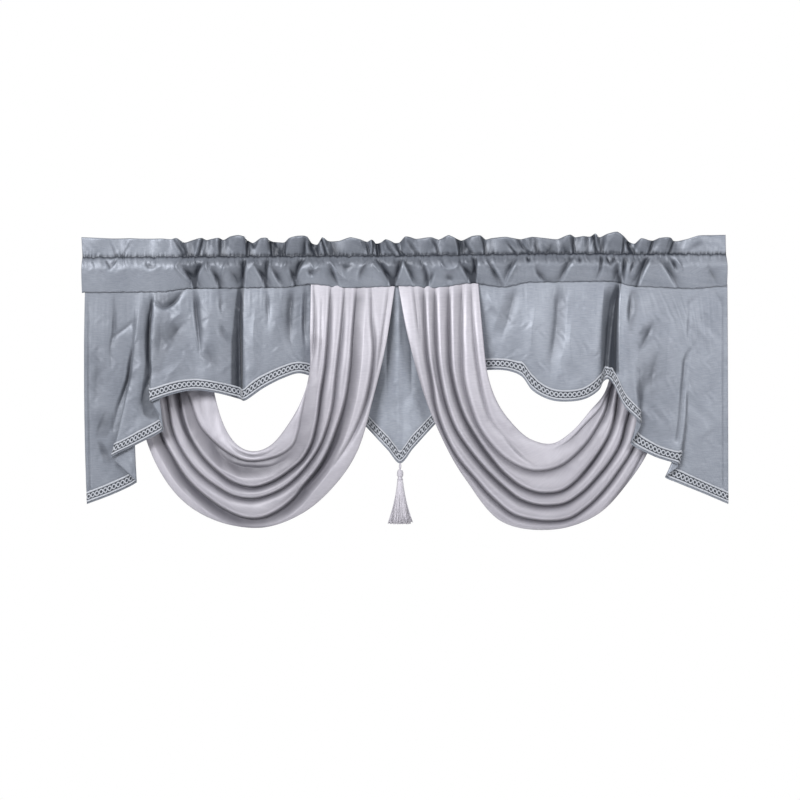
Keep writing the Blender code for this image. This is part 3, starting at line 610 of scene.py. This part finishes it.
def add_mesh(name, points, faces, material, thickness=0.0, shade=None, uvs=None):
    """A piece from points in millimetres, with each point's shade and its place on the cut.

    Shade is painted: up to 1 it is painted shade, and down to -1 it is a painted highlight.
    """
    mesh = bpy.data.meshes.new(name)
    flat = np.asarray(points, float).reshape(-1, 3) * MM
    mesh.from_pydata(flat.tolist(), [], [tuple(f) for f in faces])
    if shade is not None:
        layer = mesh.attributes.new("shade", "FLOAT", "POINT")
        layer.data.foreach_set("value", np.clip(shade, -1, 1).reshape(-1).astype(np.float32))
    if uvs is not None:
        layer = mesh.uv_layers.new(name="cut")
        corners = np.empty(len(mesh.loops), np.int32)
        mesh.loops.foreach_get("vertex_index", corners)
        spread = np.asarray(uvs, float).reshape(-1, 2)[corners]
        layer.data.foreach_set("uv", spread.reshape(-1).astype(np.float32))
    mesh.validate()
    mesh.shade_smooth()
    made = bpy.data.objects.new(name, mesh)
    made.data.materials.append(material)
    bpy.context.scene.collection.objects.link(made)
    if thickness:
        solid = made.modifiers.new("thickness", "SOLIDIFY")
        solid.thickness = thickness * MM
        solid.offset = 0
    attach(made, "root")
    return made


def grid_faces(levels, columns):
    a = (np.arange(levels - 1)[:, None] * columns + np.arange(columns - 1)[None, :]).reshape(-1)
    return np.stack([a, a + 1, a + columns + 1, a + columns], axis=1).tolist()


def add_cloth(name, grid, material, thickness, shade):
    """A sheet from its grid. A point's place on the cut, in metres, is summed along the grid."""
    across = np.linalg.norm(np.diff(grid, axis=1), axis=2)
    down = np.linalg.norm(np.diff(grid, axis=0), axis=2)
    u = np.concatenate([np.zeros((grid.shape[0], 1)), np.cumsum(across, axis=1)], axis=1)
    v = np.concatenate([np.zeros((1, grid.shape[1])), np.cumsum(down, axis=0)], axis=0)
    uvs = np.stack([u, -v], axis=2) * MM
    return add_mesh(name, grid, grid_faces(*grid.shape[:2]), material, thickness, shade, uvs)


# Materials


def node_material(name, roughness, **extra):
    made = bpy.data.materials.new(name)
    made.use_nodes = True
    tree = made.node_tree
    shader = tree.nodes["Principled BSDF"]
    shader.inputs["Roughness"].default_value = roughness
    for socket, value in extra.items():
        shader.inputs[socket.replace("_", " ")].default_value = value
    return made, tree, shader


def plug(tree, value, socket):
    """Sets a socket to a number or colour, or links it to another node's output."""
    if isinstance(value, (int, float, tuple)):
        socket.default_value = value
    else:
        tree.links.new(value, socket)


def link_noise(tree, vector, scale, detail, stretch=None):
    """Noise on the cloth's own coordinates, stretched along one thread direction if asked."""
    noise = tree.nodes.new("ShaderNodeTexNoise")
    noise.inputs["Scale"].default_value = scale
    noise.inputs["Detail"].default_value = detail
    if stretch is not None:
        mapping = tree.nodes.new("ShaderNodeMapping")
        mapping.inputs["Scale"].default_value = (*stretch, 1.0)
        tree.links.new(vector, mapping.inputs["Vector"])
        vector = mapping.outputs["Vector"]
    tree.links.new(vector, noise.inputs["Vector"])
    return noise.outputs["Fac"]


def mix_colour(tree, factor, first, second):
    mix = tree.nodes.new("ShaderNodeMix")
    mix.data_type = "RGBA"
    for value, socket in ((factor, mix.inputs[0]), (first, mix.inputs[6]), (second, mix.inputs[7])):
        plug(tree, (*value, 1.0) if isinstance(value, tuple) else value, socket)
    return mix.outputs[2]


def maths(tree, operation, *values):
    node = tree.nodes.new("ShaderNodeMath")
    node.operation = operation
    for value, socket in zip(values, node.inputs):
        plug(tree, value, socket)
    return node.outputs[0]


def times(tree, value, other):
    return maths(tree, "MULTIPLY", value, other)


def plus(tree, value, other):
    return maths(tree, "ADD", value, other)


def ramp(tree, value, low, high):
    """0 at low, 1 at high, and even between them. Low may be the larger."""
    node = tree.nodes.new("ShaderNodeMapRange")
    node.inputs["From Min"].default_value = low
    node.inputs["From Max"].default_value = high
    tree.links.new(value, node.inputs["Value"])
    return node.outputs["Result"]


def cut_uv(tree):
    uv = tree.nodes.new("ShaderNodeUVMap")
    uv.uv_map = "cut"
    return uv.outputs["UV"]


def point_shade(tree):
    attribute = tree.nodes.new("ShaderNodeAttribute")
    attribute.attribute_name = "shade"
    return attribute.outputs["Fac"]


def bump(tree, shader, height, strength, distance):
    node = tree.nodes.new("ShaderNodeBump")
    node.inputs["Strength"].default_value = strength
    node.inputs["Distance"].default_value = distance
    tree.links.new(height, node.inputs["Height"])
    tree.links.new(node.outputs["Normal"], shader.inputs["Normal"])


def weave_cloth(name, light, dark, painted_shade_colour, painted_highlight_colour, roughness, thread, slub, **extra):
    """Woven cloth with fine threads and uneven slubs, with painted shade in its creases and
    painted highlights on its ridges.
    """
    made, tree, shader = node_material(name, roughness, **extra)
    vector = cut_uv(tree)
    patches = link_noise(tree, vector, 9.0, 3.0)
    slubs = link_noise(tree, vector, 60.0, 2.0, stretch=(1.0, slub))
    tone = plus(tree, times(tree, patches, 0.55), times(tree, slubs, 0.45))
    tone = ramp(tree, tone, 0.36, 0.64)
    shade = point_shade(tree)
    # the shade attribute mixes in painted shade, and where it is negative a painted highlight
    colour = mix_colour(tree, shade, mix_colour(tree, tone, dark, light), painted_shade_colour)
    colour = mix_colour(tree, times(tree, shade, -1.0), colour, painted_highlight_colour)
    tree.links.new(colour, shader.inputs["Base Color"])
    warp = tree.nodes.new("ShaderNodeTexWave")
    warp.wave_type = "BANDS"
    warp.bands_direction = "Y"
    warp.inputs["Scale"].default_value = thread
    warp.inputs["Distortion"].default_value = 0.6
    tree.links.new(vector, warp.inputs["Vector"])
    relief = plus(tree, times(tree, warp.outputs["Fac"], 0.4), slubs)
    bump(tree, shader, relief, 0.14, 0.0004)
    return made


def yarn_material():
    made, tree, shader = node_material("silver_yarn", 0.45, Sheen_Weight=0.4)
    # the shade attribute mixes in the darker colour as painted shade
    colour = mix_colour(tree, point_shade(tree), (0.62, 0.60, 0.66), (0.22, 0.21, 0.25))
    tree.links.new(colour, shader.inputs["Base Color"])
    return made


def gimp_material():
    """Braid: a chain of light rings on a dark ground, between two light cords."""
    made, tree, shader = node_material("grey_gimp", 0.55, Sheen_Weight=0.3)
    vector = cut_uv(tree)
    parts = tree.nodes.new("ShaderNodeSeparateXYZ")
    tree.links.new(vector, parts.inputs[0])
    along, across = parts.outputs[0], parts.outputs[1]
    turn = maths(tree, "FRACT", maths(tree, "DIVIDE", along, CHAIN_PITCH * MM))
    from_ring = times(tree, maths(tree, "SUBTRACT", turn, 0.5), CHAIN_PITCH)
    from_middle = maths(tree, "SUBTRACT", maths(tree, "DIVIDE", across, MM), CHAIN_MIDDLE)
    flattened = times(tree, from_middle, 0.95)
    squares = [maths(tree, "POWER", leg, 2.0) for leg in (from_ring, flattened)]
    radius = maths(tree, "SQRT", plus(tree, *squares))
    off_ring = maths(tree, "ABSOLUTE", maths(tree, "SUBTRACT", radius, CHAIN_RADIUS))
    cords = [
        maths(tree, "ABSOLUTE", maths(tree, side, from_middle, CORD_OFFSET))
        for side in ("SUBTRACT", "ADD")
    ]
    off_cord = maths(tree, "MINIMUM", *cords)
    light = maths(tree, "MAXIMUM", ramp(tree, off_ring, 1.5, 0.7), ramp(tree, off_cord, 2.0, 1.3))
    colour = mix_colour(tree, light, (0.02, 0.026, 0.038), (0.43, 0.45, 0.50))
    tree.links.new(colour, shader.inputs["Base Color"])
    threads = link_noise(tree, vector, 900.0, 2.0, stretch=(1.0, 0.4))
    relief = plus(tree, light, times(tree, threads, 0.5))
    bump(tree, shader, relief, 0.8, 0.0009)
    return made


# Each cloth: its own light and dark tones, then the colours of its painted shade and painted
# highlight.
TAFFETA = weave_cloth(
    "blue_grey_taffeta", (0.31, 0.335, 0.39), (0.22, 0.242, 0.29), (0.02, 0.025, 0.037),
    (0.47, 0.50, 0.56), 0.45, 1300.0, 9.0, Sheen_Weight=0.2, Sheen_Roughness=0.4, Metallic=0.25,
    Specular_IOR_Level=0.55,
)
SATIN = weave_cloth(
    "silver_lilac_satin", (0.52, 0.505, 0.56), (0.445, 0.432, 0.488), (0.045, 0.043, 0.058),
    (0.74, 0.73, 0.79), 0.46, 1500.0, 5.0, Sheen_Weight=0.25, Sheen_Roughness=0.4, Metallic=0.15,
    Specular_IOR_Level=0.5,
)
YARN = yarn_material()
GIMP = gimp_material()


# Heading


def over_swags(x):
    """1 where the satin comes out from under the pocket, and 0 elsewhere."""
    return step_up((x - SATIN_WEST) / SATIN_FADE) * step_up((SATIN_EAST - x) / SATIN_FADE)


def add_heading():
    crest_knots = to_x(column(RUFFLES, "crest_px"))
    count = round(HEADING_WIDTH / HEADING_STEP) + 1
    at = np.linspace(crest_knots[0], crest_knots[-1], count)
    crests = to_z(column(RUFFLES, "crest_py"))
    crest_z = 0.45 * flow(crest_knots, crests, at) + 0.55 * np.interp(at, crest_knots, crests)
    stitch_x = flow(crest_knots, to_x(column(RUFFLES, "stitch_px")), at)
    stitch_x = np.maximum.accumulate(stitch_x)
    wave = flow(crest_knots, column(RUFFLES, "depth"), at)
    even_x = np.linspace(HEADING_WEST, HEADING_EAST, count)
    stitch_z = np.interp(even_x, column(STITCHING, "x"), column(STITCHING, "z"))
    stitch_z = stitch_z + 1.0 * wobble(even_x, 31, 1) + 1.2 * wobble(even_x, 13, 4)
    gathered = step_up((at - GATHER_WEST) / GATHER_FADE) * step_up((GATHER_EAST - at) / GATHER_FADE)
    pinch = wobble(even_x, 8.3, 2) + 0.7 * wobble(even_x, 5.1, 5)

    def frill(t, half):
        """One level of the frill: t is 0 at the crest and 1 at the stitching."""
        x = at + (stitch_x - at) * t
        z = crest_z + (stitch_z - crest_z) * t
        grip = 1 - 0.86 * ease(np.full_like(x, t))
        above = (1 - t) * FRILL_RUN
        pucker = 1.0 * pinch * math.exp(-(above / 6.0) ** 1.2)
        folds, dark = fold_push(x, z, FRILL_FOLDS)
        y = 1.1 * wave * grip + 0.7 * folds * (1 - 0.5 * t) + pucker + 0.5 * rumple(x, z, 21, 2)
        # Painted: the dark line along the stitching is partly the thread and partly painted shade
        # where the gathers close, the valleys get painted shade, and the gathered middle an even
        # painted shade.
        line = (0.85 + 0.25 * pinch) * math.exp(-(above / 4.2) ** 1.8)
        valley_shade = np.clip(0.1 * (wave - 0.5), 0, 0.5) * (0.45 + 0.55 * t)
        base = 0.12 + 0.29 * gathered
        shade = valley_shade + np.clip(dark * 0.8, -0.5, 0.8) + line + base
        return np.stack([x, y + half, z], axis=1), shade

    def pocket(s, side):
        """One level of the pocket's front or back: s is 0 at the stitching and 1 at the seam."""
        reach = ease(np.full_like(even_x, min(1.0, s * 2.2)))
        x = stitch_x + (even_x - stitch_x) * reach
        low = seam_z(x)
        z = stitch_z + (low + 0.7 * wobble(x, 19, 6) - stitch_z) * s
        down, below = s * POCKET_RUN, -(z - stitch_z)
        flat_ends = 1 - 0.35 * step_up((np.abs(x + 20) - 450) / 80)
        round_out = 1 - (1 - np.clip(below / BELLY_RUN, 0, 1)) ** 2
        belly = BELLY * flat_ends * round_out**0.85
        slack = np.clip((below - BELLY_RUN) / (stitch_z - low - BELLY_RUN), 0, 1)
        lift = 2.4 * over_swags(x) * s
        depth = belly * (1 - 0.9 * slack**1.3) + 0.9 + lift
        gathers = 1 - np.exp(-((down / 7.0) ** 2))
        pucker = 1.3 * pinch * math.exp(-((down - 2.5) / 5.0) ** 2)
        relief = 0.45 * rumple(x, z, 17, 5) + 0.8 * rumple(x, z, 43, 9)
        close = math.exp(-s * 40)
        if side < 0:
            folds, dark = fold_push(x, z, POCKET_FOLDS)
            folds = 1.6 * folds * gathers
            # Painted shade in the creases with painted highlights on their ridges, and an even
            # painted shade, more where the pocket is gathered.
            shade = np.clip(dark * 1.15, -0.5, 0.92) * gathers + 0.05 + 0.07 * gathered
            # Painted shade across the pocket's shoulder, which faces up towards the lamps; it dims
            # the highlight there.
            shoulder_shade = math.exp(-(((down - 12.0) / 11.0) ** 2))
            shade = shade + (0.22 + 0.2 * gathered) * shoulder_shade
        else:
            folds = -1.8 * wobble(x, 47, 3) * gathers
            shade = np.zeros_like(x)
        y = side * depth + folds + pucker * 0.6 + relief * gathers
        # both sides stay clear of the rod's line, and close under the stitching
        if side < 0:
            y = np.minimum(y, -1.7 - lift + 0.8 * close)
        else:
            y = np.maximum(y, 2.2 - 1.3 * close)
        # The dark band under the stitching is partly the thread and partly painted shade.
        return np.stack([x, y, z], axis=1), shade + 0.85 * math.exp(-(down / 2.6) ** 1.8)

    def pocket_levels(count):
        return [(k / count) ** 1.25 for k in range(1, count + 1)]

    levels = [pocket(s, -1) for s in reversed(pocket_levels(FRONT_LEVELS))]
    levels += [frill(t, -FRILL_HALF) for t in np.linspace(1, 0, FRILL_FRONT_LEVELS + 1)]
    levels += [frill(t, FRILL_HALF) for t in np.linspace(0, 1, FRILL_BACK_LEVELS + 1)]
    levels += [pocket(s, 1) for s in pocket_levels(BACK_LEVELS)]
    # turned lips that hide the seam, in front and behind, with painted shade, more behind
    levels.insert(0, (levels[0][0] + (0, 1.9, 1.6), np.full(count, 0.12)))
    levels.append((levels[-1][0] + (0, -1.6, 3.0), np.full(count, 0.45)))
    grid, shade = (np.stack(values)[::-1] for values in zip(*levels))
    return add_cloth("heading_cloth", grid, TAFFETA, TAFFETA_THICK, shade)


# Panels


def through(top, middle, hem, level):
    """The curve through a thread's top, its middle at MID_LEVEL, and its hem."""
    return (
        top * (level - MID_LEVEL) * (level - 1) / MID_LEVEL
        + middle * level * (level - 1) / (MID_LEVEL * (MID_LEVEL - 1))
        + hem * level * (level - MID_LEVEL) / (1 - MID_LEVEL)
    )


class Hanging:
    """A panel's surface from its threads: any place across it, at any share of the way down."""

    def __init__(self, threads, faces, base):
        apart = [math.dist(a, b) ** 0.5 for a, b in zip(threads, threads[1:])]
        self.knots = np.concatenate([[0.0], np.cumsum(apart)])
        self.threads = threads
        self.faces = faces
        self.base = base

    def fields(self, names, at):
        return [flow(self.knots, column(self.threads, name), at) for name in names.split()]

    def top_x(self, at):
        return np.interp(at, self.knots, column(self.threads, "top_x"))

    def columns(self, spacing):
        """Places across, so that the hem and the middle are both cut into steps of this size."""
        fine = np.linspace(0, self.knots[-1], 4000)
        size = np.zeros(len(fine) - 1)
        for names in ("hem_x hem_y hem_z", "mid_x mid_y"):
            steps = [np.diff(values) for values in self.fields(names, fine)]
            size = np.maximum(size, np.sqrt(sum(s**2 for s in steps)))
        length = np.concatenate([[0.0], np.cumsum(size)])
        count = round(length[-1] / spacing)
        return np.interp(np.linspace(0, length[-1], count + 1), length, fine)

    def hem_height(self, at):
        """Height of the braid's upper edge above the hem, as a share of the thread."""
        hem_x, hem_y, hem_z = self.fields("hem_x hem_y hem_z", at)
        run = np.hypot(np.gradient(hem_x), np.gradient(hem_y))
        slope = np.abs(np.gradient(hem_z)) / np.maximum(run, 1e-6)
        slope = np.convolve(np.pad(slope, 6, mode="edge"), np.ones(13) / 13, mode="valid")
        height = BRAID_WIDTH * np.minimum(np.hypot(1, slope), 1.3)
        return height / (seam_z(self.top_x(at)) - hem_z)

    def level(self, at, share, creases, seed):
        """Points of the surface and its shade, at each place and share of the way down."""
        top_x = self.top_x(at)
        top_z = seam_z(top_x) + TUCK
        mid_x, mid_y, hem_x, hem_y, hem_z = self.fields("mid_x mid_y hem_x hem_y hem_z", at)
        x = through(top_x, mid_x, hem_x, share)
        y = through(0.0, mid_y, hem_y, share)
        z = top_z + share * (hem_z - top_z)
        folds, dark = fold_push(x, z, creases)
        loose = step_up(share * 5.0)
        small = 0.5 * rumple(x, z, 23, seed) + 0.9 * rumple(x, z, 61, seed + 2)
        gathers = 1.5 * wobble(top_x, 13, seed + 4) * np.exp(-share * 12)
        fade = 1 - 0.6 * step_up((share - 0.9) * 10)
        y = y + (folds * fade + small + gathers) * loose
        # Painted shade: an even painted shade over the whole panel, and the faces' painted shade.
        shadow = self.base + face_shade(x, z, self.faces)
        shade = np.clip(dark * 0.66 * loose + shadow, -0.5, 0.9)
        return np.stack([x, y, z], axis=-1), shade


def add_panel(name, hanging, creases, seed, spacing, levels):
    """A taffeta panel and the gimp braid along its hem."""
    at = hanging.columns(spacing)
    rows = [hanging.level(at, share, creases, seed) for share in np.linspace(0, 1, levels)]
    grid, shade = (np.stack(values) for values in zip(*rows))
    cloth = add_cloth(f"{name}_cloth", grid, TAFFETA, TAFFETA_THICK, shade)
    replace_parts(cloth, name)
    braid = add_braid(f"{name}_gimp", hanging, creases, seed)
    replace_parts(braid, f"{name}_braid")


def add_braid(name, hanging, creases, seed):
    """The gimp: a dark band with a chain of light loops between two light cords."""
    at = hanging.columns(BRAID_STEP)
    height = hanging.hem_height(at)
    rows = [
        hanging.level(
            at, 1 - height * (1 + BRAID_LIP / BRAID_WIDTH - k / BRAID_ACROSS), creases, seed
        )[0]
        for k in range(BRAID_ACROSS + 1)
    ]
    grid = np.stack(rows)
    normals = grid_normals(grid)
    u, v = runs(grid[-1])[None, :], np.linspace(0, 1, BRAID_ACROSS + 1)[:, None]
    # the cords stand up, and the chain between them swells at each ring
    cord = np.exp(-(((v - 0.09) / 0.085) ** 4)) + np.exp(-(((v - 0.91) / 0.085) ** 4))
    twist = 0.75 + 0.25 * np.sin(math.tau * (u / 3.2 + v * 4))
    swell = np.exp(-(((v - 0.5) / 0.26) ** 4)) * (0.7 - 0.3 * np.cos(math.tau * u / CHAIN_PITCH))
    rise = 0.8 * swell + 1.2 * cord * twist
    front = grid + normals * (BRAID_LIFT + BRAID_THICK / 2 + rise)[..., None]
    back = grid + normals * (BRAID_LIFT - BRAID_THICK / 2)
    levels, columns = grid.shape[:2]
    behind = levels * columns
    faces = grid_faces(levels, columns)
    faces += [[behind + k for k in reversed(f)] for f in faces]
    rim = list(range(columns))
    rim += [i * columns + columns - 1 for i in range(1, levels)]
    rim += [(levels - 1) * columns + j for j in range(columns - 2, -1, -1)]
    rim += [i * columns for i in range(levels - 2, 0, -1)]
    faces += [[a, behind + a, behind + b, b] for a, b in zip(rim, rim[1:] + rim[:1])]
    points = np.concatenate([front.reshape(-1, 3), back.reshape(-1, 3)])
    uv = np.stack(np.broadcast_arrays(u * MM, v * BRAID_WIDTH * MM), axis=2).reshape(-1, 2)
    return add_mesh(name, points, faces, GIMP, uvs=np.concatenate([uv, uv]))


# Swags


def to_seam(end):
    """An end station with its heights, up under the pocket's seam."""
    inner, outer = (float(seam_z(x)) + TUCK for x in (end.inner_x, end.outer_x))
    return end._replace(inner_z=inner, outer_z=outer)


def add_swag(name, stations, folds, seed, low_shade):
    """A satin swag. Low_shade is how much painted shade darkens its bottom."""
    stations = [to_seam(stations[0]), *stations[1:-1], to_seam(stations[-1])]
    knots = np.arange(len(stations), dtype=float)
    at = np.linspace(0, knots[-1], SWAG_ROUND)[:, None]
    inner_x, inner_z, outer_x, outer_z, depth, fullness = (
        flow(knots, column(stations, field), at) for field in Station._fields
    )
    share = np.linspace(0, 1, SWAG_ACROSS)[None, :]
    x = inner_x + (outer_x - inner_x) * share
    z = inner_z + (outer_z - inner_z) * share
    loose = np.clip(fullness / 10, 0, 1)
    push, dark = fold_push(x, z, folds)
    bulge = 1 - (2 * share - 1) ** 4
    soft = 0.5 * wobble(share * 60 + at * 14, 21, seed) + 0.4 * rumple(x, z, 37, seed)
    y = depth - 0.35 * fullness * bulge + (push + soft) * loose
    # the cut edges roll back a little
    rim = np.exp(-share * 40) + np.exp(-(1 - share) * 40)
    y = y + 2.5 * rim * loose
    # Painted shade: darker towards the bottom and near the top, on top of the folds' painted shade
    # and highlights.
    low = np.sin(math.pi * at / knots[-1]) ** 4
    top = np.exp(-(((z + 100) / 70) ** 2))
    shade = dark * 0.64 * np.clip(fullness / 2.5, 0.3, 1) + low_shade * low + 0.08 * top
    grid = np.stack([x, y, z], axis=2)
    cloth = add_cloth(name, grid, SATIN, SATIN_THICK, np.clip(shade, -0.5, 0.88))
    return cloth


# Tassel


def close_rings(faces, start, rings, sides):
    """Adds the faces of a closed tube, whose rings of points begin at start, to the list."""
    for k in range(rings - 1):
        for m in range(sides):
            n = (m + 1) % sides
            a, b = start + k * sides, start + (k + 1) * sides
            faces.append((a + m, a + n, b + n, b + m))
    faces.append(tuple(start + m for m in reversed(range(sides))))
    faces.append(tuple(start + (rings - 1) * sides + m for m in range(sides)))


def tube(points, faces, shades, path, radii, sides, shade):
    """Adds a closed tube along the path to the lists."""
    start = len(points)
    path = np.asarray(path, float)
    for k, (centre, radius) in enumerate(zip(path, radii)):
        ahead = path[min(k + 1, len(path) - 1)] - path[max(k - 1, 0)]
        ahead = ahead / np.linalg.norm(ahead)
        side = np.cross(ahead, (0.0, 1.0, 0.03))
        side = side / np.linalg.norm(side)
        other = np.cross(ahead, side)
        for m in range(sides):
            a = math.tau * m / sides
            points.append(centre + radius * (side * math.cos(a) + other * math.sin(a)))
            shades.append(shade)
    close_rings(faces, start, len(path), sides)


def add_head(points, faces, shades):
    """The wound head: a core with turns of yarn round it."""
    turns, sides, groove = 15, 40, 0.35
    rings = turns * 6 + 1
    for k in range(rings):
        t = k / (rings - 1)
        z = TASSEL_TOP_Z - t * (TASSEL_TOP_Z - SKIRT_TOP_Z)
        belly = float(np.interp(t, column(TASSEL_HEAD, "share"), column(TASSEL_HEAD, "radius")))
        radius = belly + groove * abs(math.sin(math.pi * t * turns))
        for m in range(sides):
            a = math.tau * m / sides
            reach = radius + 0.22 * abs(math.sin(a * 10))
            points.append((TASSEL_X + reach * math.cos(a), TASSEL_Y + reach * math.sin(a), z))
            # painted shade that rises and falls with the turns of yarn
            shades.append(0.15 + 0.25 * (groove - (radius % groove)) / groove)
    close_rings(faces, 0, rings, sides)


def add_skirt(points, faces, shades):
    """The skirt's strands, set round each other as seeds are in a flower."""
    random = np.random.default_rng(7)
    for k in range(SKIRT_STRANDS):
        share = math.sqrt((k + 0.5) / SKIRT_STRANDS)
        angle = k * SKIRT_TURN
        root, end = SKIRT_ROOT * share, SKIRT_SPREAD * share
        drop = SKIRT_DROP - 5.0 * random.random()
        lean = random.normal(0, 0.05)
        curl = random.normal(0, 1.3)
        strand = []
        for t in np.arange(9) / 8:
            spread = 0.34 * t + 0.66 * t**1.8
            radius = root + (end - root) * spread
            a = angle + lean * t + 0.1 * math.sin(3 * t + k)
            x = TASSEL_X + radius * math.cos(a) + curl * t**2
            y = TASSEL_Y + 0.8 * radius * math.sin(a) + 0.6 * curl * t**2
            strand.append((x, y, SKIRT_TOP_Z + 1.0 - (drop + 1.0) * t))
        radii = [0.62 + 0.2 * random.random()] * 9
        # each strand's own random tone, scaled up towards the skirt's middle as painted shade
        shade = 0.12 + 0.35 * random.random() * (1.2 - share)
        tube(points, faces, shades, strand, radii, 4, shade)


def add_tassel():
    points, faces, shades = [], [], []
    add_head(points, faces, shades)
    add_skirt(points, faces, shades)
    tassel = add_mesh("tassel_yarn", points, faces, YARN, shade=np.array(shades))
    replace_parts(tassel, "tassel")


def add_loop():
    """The two legs of cord between the pennant's point and the tassel."""
    points, faces, shades = [], [], []
    bottom = TASSEL_TOP_Z - 1.0
    radii = [1.1 + 0.15 * math.sin(j * 2.1) for j in range(13)]
    for side in (-1, 1):
        path = []
        for j in range(13):
            t = j / 12
            x = TASSEL_X + side * 1.4 * math.sin(math.pi * t) ** 0.7
            path.append((x, TASSEL_Y - 0.4 * side, LOOP_TOP_Z + (bottom - LOOP_TOP_Z) * t))
        tube(points, faces, shades, path, radii, 8, 0.45)
    loop = add_mesh("tassel_cord_loop", points, faces, YARN, shade=np.array(shades))
    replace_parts(loop, "tassel_loop")


# Light, floor and camera


def add_object(name, data):
    made = bpy.data.objects.new(name, data)
    bpy.context.scene.collection.objects.link(made)
    return made


def add_area(name, place, target, size, power):
    data = bpy.data.lights.new(name, "AREA")
    data.shape = "RECTANGLE"
    data.size, data.size_y = size
    data.energy = power
    made = add_object(name, data)
    made.location = place
    aim = Vector(target) - Vector(place)
    made.rotation_euler = aim.to_track_quat("-Z", "Y").to_euler()


def add_world():
    """White to the camera, and faint as a light."""
    world = bpy.data.worlds.new("studio")
    bpy.context.scene.world = world
    world.use_nodes = True
    tree = world.node_tree
    background = tree.nodes["Background"]
    background.inputs["Color"].default_value = (1.0, 1.0, 1.0, 1.0)
    path = tree.nodes.new("ShaderNodeLightPath")
    strength = tree.nodes.new("ShaderNodeMapRange")
    strength.inputs["To Min"].default_value = 0.1
    strength.inputs["To Max"].default_value = 1.0
    tree.links.new(path.outputs["Is Camera Ray"], strength.inputs["Value"])
    tree.links.new(strength.outputs["Result"], background.inputs["Strength"])


def add_floor():
    material, _, shader = node_material("pale_floor", 0.8)
    shader.inputs["Base Color"].default_value = (0.86, 0.86, 0.86, 1.0)
    mesh = bpy.data.meshes.new("floor")
    corners = [(-1, -1), (1, -1), (1, 1), (-1, 1)]
    points = [(FLOOR_HALF * x, FLOOR_HALF * y, FLOOR_Z) for x, y in corners]
    mesh.from_pydata(points, [], [(0, 1, 2, 3)])
    mesh.materials.append(material)
    add_object("floor", mesh)


def add_camera():
    camera = bpy.data.cameras.new("camera")
    camera.sensor_width = SENSOR_MM
    camera.lens = SENSOR_MM * CAMERA_DISTANCE / (PHOTO_SIDE * MM_A_PIXEL * MM)
    made = add_object("camera", camera)
    x = float(to_x(PHOTO_SIDE / 2)) * MM
    z = float(to_z(PHOTO_SIDE / 2)) * MM
    made.location = (x, -CAMERA_DISTANCE, z)
    made.rotation_euler = (math.radians(90), 0, 0)
    bpy.context.scene.camera = made


bpy.context.scene.view_settings.view_transform = "Standard"
add_world()
add_area("key", (-2.3, -3.8, 1.7), (0, 0, -0.3), (2.2, 1.6), 228)
add_area("fill", (1.9, -2.5, 0.5), (0.5, 0, -0.3), (1.0, 1.4), 40)
add_area("top", (0.1, -1.4, 2.0), (0, 0, -0.2), (2.4, 0.5), 12)
add_area("back", (0.9, 3.6, 1.3), (0, 0, -0.3), (2.4, 1.6), 170)
add_floor()
add_camera()

heading = add_heading()
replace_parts(heading, "heading")
# The last number is an even painted shade over each panel: the left one darker, the pennant a
# little lighter.
left = Hanging(LEFT_PANEL, LEFT_FACES, 0.21)
right = Hanging(RIGHT_PANEL, RIGHT_FACES, 0.05)
middle = Hanging(PENNANT, [], -0.04)
add_panel("panel_left", left, LEFT_FOLDS, 11, 2.1, 120)
add_panel("panel_right", right, RIGHT_FOLDS, 23, 2.1, 120)
add_panel("pennant", middle, PENNANT_FOLDS, 31, 2.4, 110)
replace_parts(add_swag("swag_left_satin", LEFT_SWAG, LEFT_SWAG_FOLDS, 1.3, 0.24), "swag_left")
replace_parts(add_swag("swag_right_satin", RIGHT_SWAG, RIGHT_SWAG_FOLDS, 4.1, 0.1), "swag_right")
add_tassel()
add_loop()
